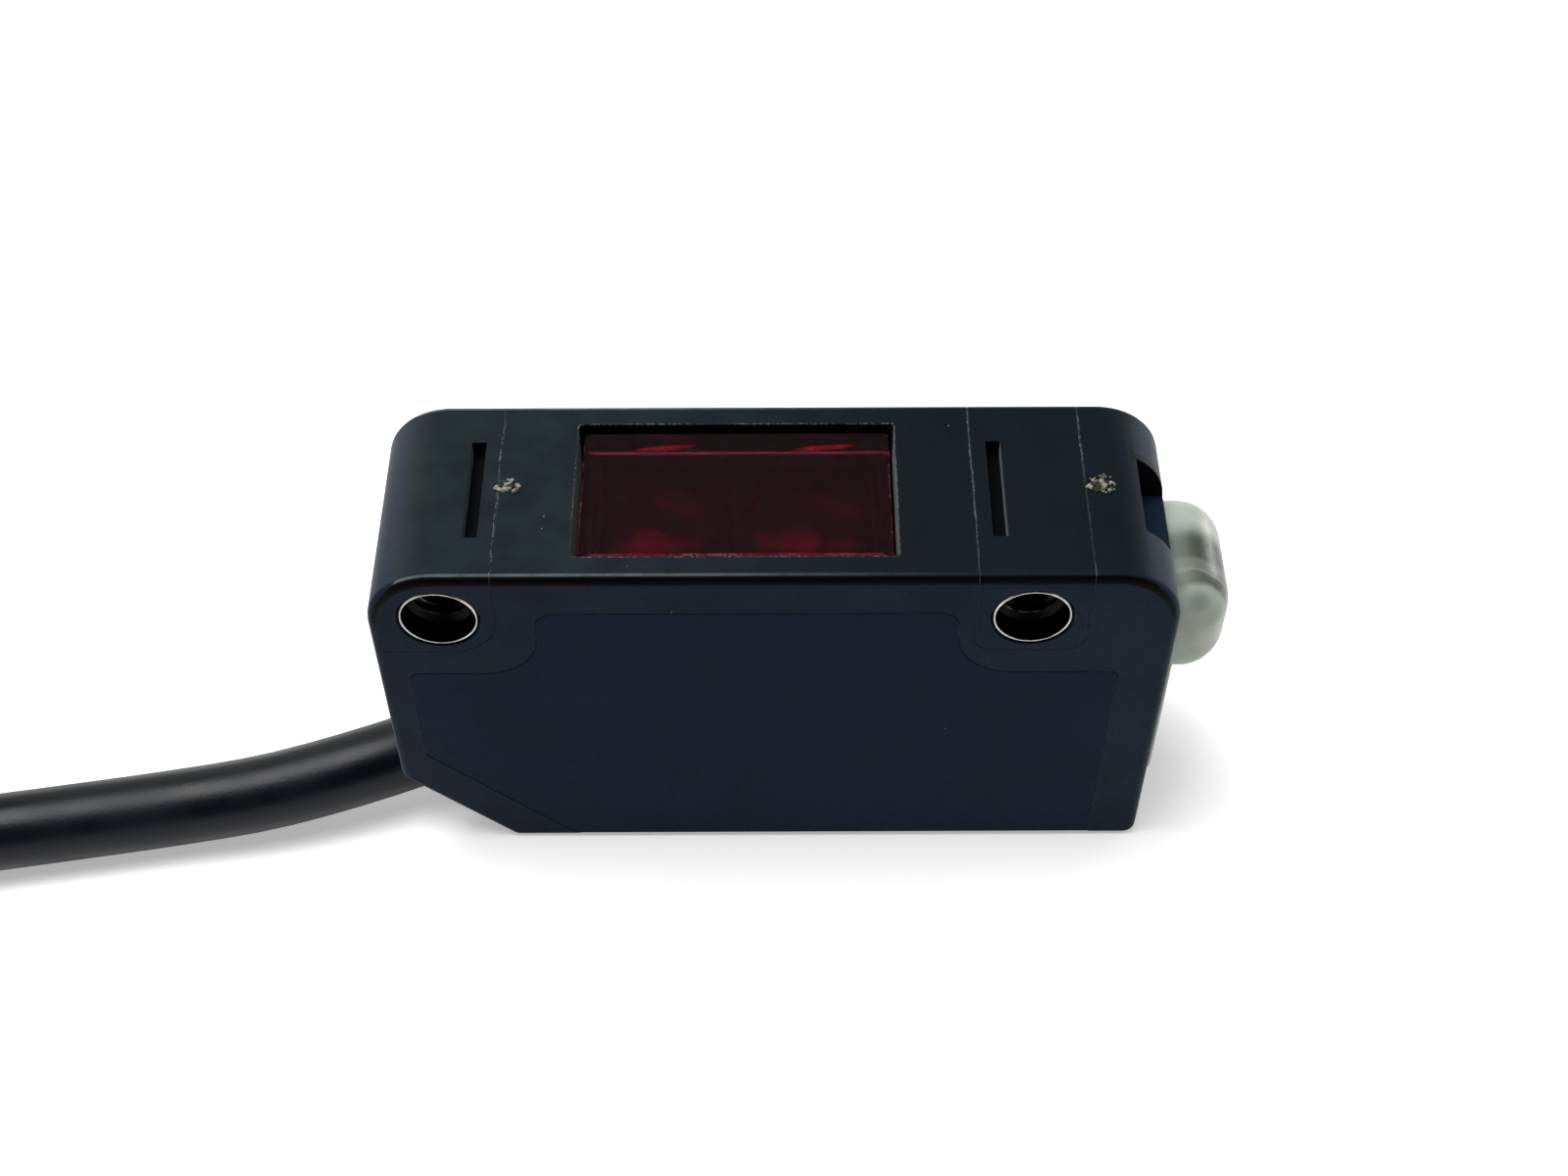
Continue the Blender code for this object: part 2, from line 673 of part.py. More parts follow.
def make_sleeve(side, insert_x, finishes):
    """A threaded metal sleeve through the thickness, with a lead-in at each mouth."""
    half = BODY_WIDTH / 2 - SLEEVE_SET_BACK
    mouth = SLEEVE_BORE_RADIUS + SLEEVE_LEAD_IN
    bm = turned_ring(
        [
            (SLEEVE_RADIUS, -half),
            (SLEEVE_RADIUS, half),
            (mouth, half),
            (SLEEVE_BORE_RADIUS, half - SLEEVE_LEAD_IN),
            (SLEEVE_BORE_RADIUS, SLEEVE_LEAD_IN - half),
            (mouth, -half),
        ]
    )
    bmesh.ops.rotate(bm, verts=bm.verts, matrix=Matrix.Rotation(math.radians(90), 3, "X"))
    add_mesh(f"insert_sleeve_{side}", bm, finishes["sleeve"], (insert_x, 0, INSERT_HEIGHT))


def make_inserts(finishes):
    """Both corner blocks with their sleeves."""
    left_slot = INSERT_LEFT + SLOT_FROM_INSERT
    right_slot = INSERT_RIGHT - SLOT_FROM_INSERT
    make_carrier("left", left_carrier_corners(), INSERT_LEFT, left_slot, finishes)
    make_carrier("right", right_carrier_corners(), INSERT_RIGHT, right_slot, finishes)
    make_sleeve("left", INSERT_LEFT, finishes)
    make_sleeve("right", INSERT_RIGHT, finishes)


def make_window(finishes):
    """The red window and the seal that it is bedded on."""
    prism("front_window", window_corners(0), "Z", WINDOW_FOOT, WINDOW_TOP, finishes["window"])
    seal_top = SEAL_FOOT + SEAL_THICKNESS
    seal = prism("window_seal", window_corners(0), "Z", SEAL_FOOT, seal_top, finishes["rubber"])
    opening = window_corners(-SEAL_WIDTH)
    cut(seal, prism("seal_opening", opening, "Z", SEAL_FOOT - OVERSHOOT, seal_top + OVERSHOOT))


def make_lens(name, x, finishes):
    """A round lens with a flat foot, a short rim and a domed crown."""
    foot = HOLDER_TOP - LENS_SEAT_DEPTH + SEAT_GAP
    rim_top = foot + LENS_RIM
    sphere = (LENS_RADIUS**2 + LENS_CROWN**2) / (2 * LENS_CROWN)
    steps = 6
    crown = []
    for step in range(steps + 1):
        radius = LENS_RADIUS * step / steps
        drop = sphere - math.sqrt(sphere**2 - radius**2)
        crown.append((radius, rim_top + LENS_CROWN - drop))
    bm = turned_solid([*crown, (LENS_RADIUS, foot), (0, foot)])
    add_mesh(name, bm, finishes["lens"], (x, 0, 0))


def make_holder(finishes):
    """The black block that seats both lenses and keeps their two light channels apart."""
    near = COVER_INSIDE + HOLDER_TO_WALL
    far = CAVITY_FAR - HOLDER_TO_WALL
    low = (OPTICS_MIDDLE - HOLDER_LENGTH / 2, near, HOLDER_FOOT)
    high = (OPTICS_MIDDLE + HOLDER_LENGTH / 2, far, HOLDER_TOP)
    holder = block("optics_holder", low, high, finishes["chip"])
    seat = HOLDER_TOP - LENS_SEAT_DEPTH
    seat_radius = LENS_RADIUS + SEAT_GAP
    for side, x in (("emitter", EMITTER_X), ("receiver", RECEIVER_X)):
        seat_top = HOLDER_TOP + OVERSHOOT
        middle = (x, 0, (seat + seat_top) / 2)
        channel_middle = (x, 0, (seat + HOLDER_FOOT) / 2)
        channel = seat - HOLDER_FOOT + 2 * SEAT_GAP
        cut(
            holder,
            cone(f"{side}_seat", middle, (0, 0, 1), seat_radius, seat_radius, seat_top - seat),
            cone(
                f"{side}_channel",
                channel_middle,
                (0, 0, 1),
                CHANNEL_FOOT_RADIUS,
                CHANNEL_TOP_RADIUS,
                channel,
            ),
        )


def make_optical_chip(name, x, finish):
    """A square package with a small clear dome, under its light channel."""
    top = HOLDER_FOOT - SEAT_GAP
    low = (x - CHIP_SIDE / 2, -CHIP_SIDE / 2, top - CHIP_THICKNESS)
    high = (x + CHIP_SIDE / 2, CHIP_SIDE / 2, top)
    chip = block(name, low, high, finish)
    bm = bmesh.new()
    bmesh.ops.create_uvsphere(bm, u_segments=16, v_segments=8, radius=CHIP_LENS_RADIUS)
    shape_with(chip, add_mesh(f"{name}_dome", bm, finish, (x, 0, top)), "UNION")


def make_shield(finishes):
    """The open-topped tin can round the receiver."""
    top = HOLDER_FOOT - SEAT_GAP
    low = Vector((RECEIVER_X - SHIELD_LENGTH / 2, -SHIELD_WIDTH / 2, top - SHIELD_HEIGHT))
    high = Vector((RECEIVER_X + SHIELD_LENGTH / 2, SHIELD_WIDTH / 2, top))
    shield = block("receiver_shield", low, high, finishes["shield"])
    wall = Vector((SHIELD_WALL, SHIELD_WALL, SHIELD_WALL))
    over = Vector((-SHIELD_WALL, -SHIELD_WALL, OVERSHOOT))
    cut(shield, block("shield_hollow", low + wall, high + over))


def make_optics(finishes):
    """Window, lenses, holder and the two optical chips."""
    make_window(finishes)
    make_lens("emitter_lens", EMITTER_X, finishes)
    make_lens("receiver_lens", RECEIVER_X, finishes)
    make_holder(finishes)
    make_optical_chip("emitter_led", EMITTER_X, finishes["lamp_red"])
    make_optical_chip("receiver_photodiode", RECEIVER_X, finishes["diode"])
    make_shield(finishes)


def on_board(name, middle, size, finish):
    """A component seated on the face of the board, with its middle at an (x, z) place."""
    far = BOARD_FACE - SEAT_GAP
    low = (middle[0] - size[0] / 2, far - size[1], middle[1] - size[2] / 2)
    high = (middle[0] + size[0] / 2, far, middle[1] + size[2] / 2)
    block(name, low, high, finish)


def make_board(finishes):
    """The circuit board against the far wall, with its components and indicator lamps."""
    hollow = cavity_corners()
    right = hollow[1][0]
    top = hollow[2][1]
    left = hollow[7][0]
    outline = [
        (hollow[0][0] + BOARD_CORNER_CUT, hollow[0][1], 0),
        (right, hollow[1][1], 0),
        (right, top, 0),
        (left, top, 0),
        (left, hollow[8][1] + BOARD_CORNER_CUT, 0),
    ]
    edge = inset(outline, BOARD_EDGE_GAP)
    prism("circuit_board", edge, "Y", BOARD_FACE, BOARD_FAR, finishes["board"])
    on_board("control_chip", CONTROL_CHIP_AT, CONTROL_CHIP_SIZE, finishes["chip"])
    on_board("output_transistor", TRANSISTOR_AT, TRANSISTOR_SIZE, finishes["chip"])
    on_board("supply_capacitor", CAPACITOR_AT, CAPACITOR_SIZE, finishes["tantalum"])
    stem_inner = right + SEAT_GAP
    lamp_x = stem_inner - STEM_TO_LAMP - LAMP_LENGTH / 2
    size = (LAMP_LENGTH, LAMP_WIDTH, LAMP_HEIGHT)
    lower = STEM_FOOT + LAMP_HEIGHT / 2
    upper = STEM_FOOT + STEM_HEIGHT - LAMP_HEIGHT / 2
    on_board("indicator_led_output", (lamp_x, lower), size, finishes["lamp_orange"])
    on_board("indicator_led_stability", (lamp_x, upper), size, finishes["lamp_green"])


def make_indicator(finishes):
    """The frosted cap: a rounded dome and flange on the end face, with a stem through the wall."""
    base = RIGHT_END + FLANGE_GAP
    flange_face = RIGHT_END + FLANGE_PROUD
    tip = RIGHT_END + CAP_REACH
    dome_corners = rectangle((0, CAP_MIDDLE), (CAP_WIDTH, CAP_HEIGHT), CAP_CORNER_RADIUS)
    bm = prism_shape(dome_corners, "X", base, tip)
    rim = [edge for edge in bm.edges if all(vert.co.x > tip - 1e-6 for vert in edge.verts)]
    bmesh.ops.bevel(
        bm,
        geom=rim,
        offset=CAP_EDGE_RADIUS,
        affect="EDGES",
        segments=3,
        profile=0.5,
        material=-1,
    )
    cap = add_mesh("indicator_cap", bm, finishes["frosted"])
    flange_top = CAP_TOP - FLANGE_BELOW_CAP_TOP
    flange_middle = (0, (FLANGE_FOOT + flange_top) / 2)
    flange_size = (FLANGE_WIDTH, flange_top - FLANGE_FOOT)
    flange = rectangle(flange_middle, flange_size, CAP_CORNER_RADIUS)
    shape_with(cap, prism("cap_flange", flange, "X", base, flange_face), "UNION")
    stem_inner = RIGHT_END - COVER_FROM_RIGHT_END - COVER_LEDGE + SEAT_GAP
    low = (stem_inner, -STEM_WIDTH / 2, STEM_FOOT)
    high = ((base + flange_face) / 2, STEM_WIDTH / 2, STEM_FOOT + STEM_HEIGHT)
    shape_with(cap, block("cap_stem", low, high), "UNION")


def make_control(kind, x, finishes):
    """A screwdriver control: a slotted rotor in its well, the seal round it and the body it turns in."""
    head_top = ROTOR_RECESS + ROTOR_HEAD
    stem_top = head_top + ROTOR_STEM
    rotor = add_mesh(
        f"{kind}_rotor",
        turned_solid(
            [
                (0, stem_top),
                (ROTOR_STEM_RADIUS, stem_top),
                (ROTOR_STEM_RADIUS, head_top),
                (ROTOR_RADIUS, head_top),
                (ROTOR_RADIUS, ROTOR_RECESS),
                (0, ROTOR_RECESS),
            ]
        ),
        finishes["rotor"],
        (x, 0, 0),
    )
    slot_low = (x - ROTOR_RADIUS, -ROTOR_SLOT_WIDTH / 2, ROTOR_RECESS - OVERSHOOT)
    slot_high = (x + ROTOR_RADIUS, ROTOR_SLOT_WIDTH / 2, ROTOR_RECESS + ROTOR_SLOT_DEPTH)
    cut(rotor, block(f"{kind}_rotor_slot", slot_low, slot_high))
    seal_outer = WELL_RADIUS - SEAT_GAP
    seal_inner = ROTOR_RADIUS + RUNNING_GAP
    seal_foot = head_top - CONTROL_SEAL_HEIGHT
    seal = turned_ring(
        [
            (seal_outer, seal_foot),
            (seal_outer, head_top),
            (seal_inner, head_top),
            (seal_inner, seal_foot),
        ]
    )
    add_mesh(f"{kind}_seal", seal, finishes["rubber"], (x, 0, 0))
    body_foot = max(BACK_WALL, head_top) + SEAT_GAP
    half = CONTROL_BODY_SIDE / 2
    body = block(
        f"{kind}_body",
        (x - half, -half, body_foot),
        (x + half, BOARD_FACE - SEAT_GAP, body_foot + CONTROL_BODY_HEIGHT),
        finishes["control"],
    )
    bore_low = body_foot - OVERSHOOT
    bore_high = stem_top + SEAT_GAP
    bore_radius = ROTOR_STEM_RADIUS + RUNNING_GAP
    bore_middle = (x, 0, (bore_low + bore_high) / 2)
    bore = cone(f"{kind}_bore", bore_middle, (0, 0, 1), bore_radius, bore_radius, bore_high - bore_low)
    cut(body, bore)


def make_bushing(finishes):
    """The bushing moulded on the end of the lead, in the slanted corner, and the cores behind it."""
    middle = EXIT_POINT + EXIT_DIRECTION * (BUSHING_OUT - BUSHING_IN) / 2
    length = BUSHING_OUT + BUSHING_IN
    cone("cable_bushing", middle, EXIT_DIRECTION, BUSHING_RADIUS, BUSHING_RADIUS, length, finishes["rubber"])
    aside = Vector((-EXIT_DIRECTION.y, EXIT_DIRECTION.x, 0))
    start = EXIT_POINT - EXIT_DIRECTION * (BUSHING_IN + CORD_GAP) + aside * CORE_ASIDE
    places = (("brown", 0, 0), ("blue", 1, 0), ("black", 0, 1), ("white", 1, 1))
    for colour, column, row in places:
        offset = aside * CORE_OFFSET * (2 * column - 1) + Vector((0, 0, CORE_OFFSET * (2 * row - 1)))
        begin = start + offset
        pad_x = LEFT_END + PADS_FROM_LEFT_END[column]
        pad = Vector((pad_x, BOARD_FACE - SEAT_GAP, EXIT_HEIGHT + PADS_ABOVE_EXIT[row]))
        before_pad = pad - Vector((0, (pad.y - begin.y) / 2, 0))
        route = [begin, begin - EXIT_DIRECTION * 2 * CORE_RADIUS, before_pad, pad]
        tube(f"wire_{colour}", smooth_route(route, 2.5 * CORE_RADIUS), CORE_RADIUS, 1, finishes[colour])


def make_cable(finishes):
    """The free stretch of the lead, from the bushing to the hank, and its length."""
    begin = EXIT_POINT + EXIT_DIRECTION * (BUSHING_OUT + CORD_GAP)
    straight = begin + EXIT_DIRECTION * CABLE_DIAMETER
    points = smooth_route([begin, straight, *CABLE_ROUTE], ROUTE_SPACING)
    tube("cable", points, CABLE_RADIUS, 2, finishes["jacket"])
    return path_length(points)


def loop_radius(turn):
    """How far out the hank's cord lies: in along one layer and out along the next, at a steady rate."""
    inner_turns = [LAYER_LOOPS * layer + HALF_RUN_TURN for layer in range(1, HANK_LAYERS, 2)]
    return FOLD_RADIUS + LOOP_STEP * min(abs(turn - inner) for inner in inner_turns)


def loop_height(turn):
    """How high the hank's cord lies: it climbs a layer along a run, at the end of each layer's loops."""
    height = CABLE_REST
    run = RUN_POINTS / LOOP_POINTS
    for layer in range(1, HANK_LAYERS):
        share = min(max((turn - layer * LAYER_LOOPS) / run, 0), 1)
        height += LAYER_RISE * share * share * (3 - 2 * share)
    return height


def hank_middle():
    """The middle of the hank on the surface, from where the lead runs into it."""
    x, y, _ = CABLE_ROUTE[-1]
    return x - CORD_GAP - CABLE_DIAMETER - RUN_HALF, y + loop_radius(0)


def hank_point(turn, outward=0.0):
    """A point of the hank's cord after so many turns, or one beside it."""
    middle_x, middle_y = hank_middle()
    radius = loop_radius(turn) + outward
    step = (turn % 1) * LOOP_POINTS
    side = -1
    if step >= LOOP_POINTS / 2:
        step -= LOOP_POINTS / 2
        side = 1
    height = loop_height(turn)
    if step <= RUN_POINTS:
        along = side * (2 * step / RUN_POINTS - 1) * RUN_HALF
        waist = math.cos(math.pi * along / 2 / RUN_HALF) ** 2
        across = side * (radius - WAIST_DRAW * waist)
        height += WAIST_LIFT * waist
    else:
        angle = math.pi * (step - RUN_POINTS) / FOLD_POINTS
        along = side * (RUN_HALF + radius * math.sin(angle))
        across = side * radius * math.cos(angle)
    return np.array([middle_x + along, middle_y + across, height])


def make_hank(finishes):
    """The wound part of the lead, as one unbroken tube, and its length."""
    stations = list(range(HANK_LOOPS * LOOP_POINTS + 1 + int(LAST_RUN_SHARE)))
    stations.append(HANK_LOOPS * LOOP_POINTS + LAST_RUN_SHARE)
    wound = [hank_point(station / LOOP_POINTS) for station in stations]
    points = np.array([wound[0] + np.array([CABLE_DIAMETER, 0, 0]), *wound])
    tube("cable_hank", points, CABLE_RADIUS, 1, finishes["jacket"])
    print(f"least gap of the hank to itself: {1000 * least_gap(points, CABLE_DIAMETER):.2f} mm")
    return path_length(points)


def make_tie(finishes):
    """The strap round the waist of the hank."""
    middle_x, middle_y = hank_middle()
    widest = loop_radius(HANK_LOOPS + LAST_RUN_SHARE / LOOP_POINTS)
    slack = WAIST_DRAW * (1 - math.cos(math.pi / 2 / RUN_POINTS) ** 2)
    half = widest - WAIST_DRAW + slack + CABLE_RADIUS + CORD_GAP
    foot = TIE_THICKNESS + CORD_GAP / 4
    top = loop_height(HANK_LOOPS) + WAIST_LIFT + CABLE_RADIUS + CORD_GAP
    inner = rectangle((middle_y, (foot + top) / 2), (2 * half, top - foot), TIE_CORNER_RADIUS)
    low = middle_x - TIE_WIDTH / 2
    high = middle_x + TIE_WIDTH / 2
    tie = prism("hank_tie", inset(inner, -TIE_THICKNESS), "X", low, high, finishes["strap"])
    cut(tie, prism("tie_opening", inner, "X", low - OVERSHOOT, high + OVERSHOOT))


def make_leads(finishes):
    """The four stripped ends, which run on over the hank from the end of the jacket."""
    end_turn = HANK_LOOPS + LAST_RUN_SHARE / LOOP_POINTS
    end = hank_point(end_turn)
    forward = end - hank_point(end_turn - 1e-4)
    forward /= np.linalg.norm(forward)
    aside = np.array([-forward[1], forward[0], 0])
    under = LAYER_RISE - CABLE_RADIUS - LEAD_RADIUS - CORD_GAP
    colours = ("brown", "white", "blue", "black")
    for place, colour in enumerate(colours):
        across = (place - 1.5) * LEAD_SPACING
        outer = place in (0, 3)
        core_across = LEAD_SPACING / 2 * (1 if place >= 2 else -1)
        core_up = LEAD_SPACING / 2 * (1 if outer else -1)
        begin = end + forward * CORD_GAP + aside * core_across + np.array([0, 0, core_up])
        route = [begin, begin + forward * 2 * LEAD_RADIUS]
        turn = end_turn
        lowered = 0.0
        while path_length(route) < LEAD_LENGTH:
            turn += 1.1 / LOOP_POINTS
            lowered = min(lowered + (0.5 if outer else 1.0), 1.0)
            route.append(hank_point(turn, across) - np.array([0, 0, under * lowered]))
        points = smooth_route(route, LEAD_LENGTH / LEAD_POINTS)[: LEAD_POINTS + 1]
        make_lead(f"lead_{colour}", points, finishes[colour])


def make_lead(name, points, finish):
    """One stripped core: its insulation, and the thinner bare tip."""
    way = points[-1] - points[-2]
    way /= np.linalg.norm(way)
    tip = points[-1] + way * LEAD_TIP_LENGTH
    step = points[-1] + way * LEAD_TIP_RADIUS / 4
    radii = [1.0] * len(points) + [LEAD_TIP_RADIUS / LEAD_RADIUS] * 2
    tube(name, [*points, step, tip], LEAD_RADIUS, 1, finish, radii)


def main():
    """Builds every piece and prints the lead's length."""
    clear_scene()
    finishes = make_finishes()
    make_housing(finishes)
    make_cover(finishes)
    make_inserts(finishes)
    make_optics(finishes)
    make_board(finishes)
    make_indicator(finishes)
    make_control("trimmer", RIGHT_END - TRIMMER_FROM_RIGHT_END, finishes)
    make_control("selector", RIGHT_END - SELECTOR_FROM_RIGHT_END, finishes)
    make_bushing(finishes)
    length = make_cable(finishes) + make_hank(finishes)
    make_tie(finishes)
    make_leads(finishes)
    print(f"length of the lead's jacket: {length:.3f} m")


main()
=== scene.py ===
"""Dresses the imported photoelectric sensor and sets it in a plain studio.

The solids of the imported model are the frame, and each piece here stands where its solid is. +X runs along
the body to the indicator, +Y to the plain side and +Z out of the lens window. Lengths are in metres.
"""

from __future__ import annotations

import logging
import math
from dataclasses import dataclass, field
from enum import Enum
from typing import Iterable, Sequence

import bmesh
import bpy
import numpy as np
from mathutils import Matrix, Vector, noise

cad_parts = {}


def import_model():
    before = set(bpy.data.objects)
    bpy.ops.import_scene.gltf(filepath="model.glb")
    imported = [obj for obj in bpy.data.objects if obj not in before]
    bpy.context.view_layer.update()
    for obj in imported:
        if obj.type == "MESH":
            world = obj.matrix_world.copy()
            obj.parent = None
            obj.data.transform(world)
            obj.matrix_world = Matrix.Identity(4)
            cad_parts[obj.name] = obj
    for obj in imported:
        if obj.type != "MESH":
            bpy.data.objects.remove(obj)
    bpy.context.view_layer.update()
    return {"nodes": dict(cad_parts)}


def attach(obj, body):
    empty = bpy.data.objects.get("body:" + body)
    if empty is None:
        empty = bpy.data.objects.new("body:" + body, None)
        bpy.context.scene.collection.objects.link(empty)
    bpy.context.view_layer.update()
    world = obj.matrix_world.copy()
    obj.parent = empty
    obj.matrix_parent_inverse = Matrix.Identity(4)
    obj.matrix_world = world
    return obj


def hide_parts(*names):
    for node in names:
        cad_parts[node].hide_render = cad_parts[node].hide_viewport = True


LOG = logging.getLogger("sensor")
SMOOTH_ANGLE = math.radians(32)
ARC_STEP = math.radians(5)
FULL_TURN = 2 * math.pi
DUST_GRAIN = 0.00016
DUST_STRETCH = 0.0021
MERGE = 1e-7
Colour = tuple[float, float, float]
Point = tuple[float, float, float]
Socket = bpy.types.NodeSocket


class Axis(Enum):
    """The direction in which an outline is drawn out, with the order of its coordinates."""

    X = (2, 0, 1)
    Y = (0, 2, 1)
    Z = (0, 1, 2)


class Carve(Enum):
    """How one shape works on another."""

    CUT = "DIFFERENCE"
    JOIN = "UNION"
    KEEP = "INTERSECT"


class Slot(Enum):
    """Names of finishes, which new pieces are passed with."""

    CASE = "case_black"
    COVER = "cover_black"
    SLEEVE = "sleeve_steel"
    WINDOW = "window_red"
    RUBBER = "seal_rubber"
    LENS = "lens_red"
    CAP = "frosted_cap"
    ROTOR = "rotor_white"
    BROWN = "core_brown"
    BLUE = "core_blue"
    BLACK = "core_black"
    WHITE = "core_white"
    JACKET = "cable_jacket"
    STRAP = "strap_black"


class Shader:
    """A material under construction, with short ways to add and join its nodes."""

    def __init__(self, name: str) -> None:
        """Starts a material with a plain Principled surface.

        Args:
            name: The material's name.
        """
        self.material = bpy.data.materials.new(name)
        self.material.use_nodes = True
        self.tree = self.material.node_tree
        self.surface = self.tree.nodes["Principled BSDF"]
        where = self.add("ShaderNodeTexCoord")
        self.place = where.outputs["Object"]
        self.facing = where.outputs["Normal"]

    def add(self, kind: str, inputs: dict | None = None, **settings: object) -> bpy.types.Node:
        """Adds a node.

        Args:
            kind: The node's type.
            inputs: Values or sockets for its inputs.
            settings: The node's own settings.

        Returns:
            The node.
        """
        node = self.tree.nodes.new(kind)
        for key, value in settings.items():
            setattr(node, key, value)
        for key, value in (inputs or {}).items():
            self.feed(node, key, value)
        return node

    def feed(self, node: bpy.types.Node, key: str | int, value: object) -> None:
        """Links a socket to a node's input, or sets the input to a value.

        Args:
            node: The node.
            key: The input's name or number.
            value: The socket or the value.
        """
        if isinstance(value, bpy.types.NodeSocket):
            self.tree.links.new(value, node.inputs[key])
        else:
            node.inputs[key].default_value = value

    def set(self, **values: object) -> None:
        """Sets inputs of the surface, with underscores for the spaces in their names."""
        for key, value in values.items():
            self.feed(self.surface, key.replace("_", " "), value)

    def math(self, operation: str, first: object, second: object = 0.0) -> Socket:
        """The result of one sum on two values."""
        return self.add("ShaderNodeMath", {0: first, 1: second}, operation=operation).outputs[0]

    def fit(self, value: object, low: float, high: float, start: float = 0.0, end: float = 1.0) -> Socket:
        """A value taken smoothly from one range to another."""
        inputs = {"Value": value, "From Min": low, "From Max": high, "To Min": start, "To Max": end}
        return self.add("ShaderNodeMapRange", inputs, interpolation_type="SMOOTHSTEP").outputs["Result"]

    def mix(self, share: object, first: object, second: object) -> Socket:
        """Two colours mixed by a share."""
        inputs = {0: share, 6: as_rgba(first), 7: as_rgba(second)}
        return self.add("ShaderNodeMix", inputs, data_type="RGBA").outputs[2]

    def noise(self, size: float, detail: float = 2.0, stretch: Point = (1, 1, 1)) -> Socket:
        """A noise whose blotches are about so many metres across.

        Args:
            size: How wide a blotch is.
            detail: How many finer layers it has.
            stretch: How much it is drawn together along each axis.

        Returns:
            The noise.
        """
        where = self.add("ShaderNodeMapping", {"Vector": self.place, "Scale": stretch}).outputs[0]
        inputs = {"Vector": where, "Scale": 1 / size, "Detail": detail}
        return self.add("ShaderNodeTexNoise", inputs).outputs["Fac"]

    def specks(self, size: float, share: float, reach: float) -> Socket:
        """A mask of scattered specks.

        Args:
            size: How far apart the places for specks are.
            share: The share of those places that hold one.
            reach: A speck's radius, as a share of the distance.

        Returns:
            The mask, which is 1 on a speck.
        """
        cells = self.add("ShaderNodeTexVoronoi", {"Vector": self.place, "Scale": 1 / size})
        near = self.fit(cells.outputs["Distance"], reach, reach / 2)
        lot = self.add("ShaderNodeSeparateColor", {0: cells.outputs["Color"]}).outputs[0]
        return self.math("MULTIPLY", near, self.math("LESS_THAN", lot, share))

    def axes(self) -> tuple[Socket, Socket, Socket]:
        """The place on the object, as three values."""
        parts = self.add("ShaderNodeSeparateXYZ", {0: self.place}).outputs
        return parts["X"], parts["Y"], parts["Z"]

    def away(self, value: Socket, middle: float) -> Socket:
        """How far a value is from a middle one."""
        return self.math("ABSOLUTE", self.math("SUBTRACT", value, middle))

    def span(self, *parts: Socket) -> Socket:
        """The length of a line, from how far it goes each way.

        Args:
            parts: How far it goes along each axis.

        Returns:
            Its length.
        """
        total: object = 0.0
        for part in parts:
            total = self.math("ADD", total, self.both(part, part))
        return self.math("SQRT", total)

    def both(self, *masks: Socket) -> Socket:
        """The product of masks.

        Args:
            masks: The masks.

        Returns:
            Their product.
        """
        result = masks[0]
        for mask in masks[1:]:
            result = self.math("MULTIPLY", result, mask)
        return result

    def beyond(self, area: Rectangle) -> Socket:
        """How far a place lies outside a rectangle, seen along Z, and less than nothing inside it.

        Args:
            area: The rectangle.

        Returns:
            The distance.
        """
        x, y, _ = self.axes()
        beside = self.math("SUBTRACT", self.away(x, area.middle[0]), area.half[0])
        ahead = self.math("SUBTRACT", self.away(y, area.middle[1]), area.half[1])
        return self.math("MAXIMUM", beside, ahead)

    def line(self, distance: Socket, half: float) -> Socket:
        """A mask of a broken line of dust, where a distance is about nothing.

        Args:
            distance: The distance from the line's middle.
            half: Half of the line's width.

        Returns:
            The mask.
        """
        near = self.fit(self.math("ABSOLUTE", distance), half, half / 4)
        fine = self.fit(self.noise(DUST_GRAIN, 4), 0.44, 0.60)
        stretches = self.fit(self.noise(DUST_STRETCH, 3), 0.38, 0.60, 0.15, 1.0)
        return self.both(near, fine, stretches)

    def bump(self, height: Socket, depth: float) -> None:
        """Raises the surface by a height."""
        made = self.add("ShaderNodeBump", {"Height": height, "Distance": depth, "Strength": 1.0})
        self.set(Normal=made.outputs["Normal"])


def as_rgba(colour: object) -> object:
    """A colour with its alpha, or a socket as it is."""
    return colour if isinstance(colour, bpy.types.NodeSocket) else (*colour, 1.0)


def shade(colour: Colour, times: float) -> Colour:
    """A colour made lighter or darker."""
    return tuple(channel * times for channel in colour)


@dataclass(frozen=True)
class Rectangle:
    """A rectangle on the lens face: its middle and half of its sides."""

    middle: tuple[float, float]
    half: tuple[float, float]


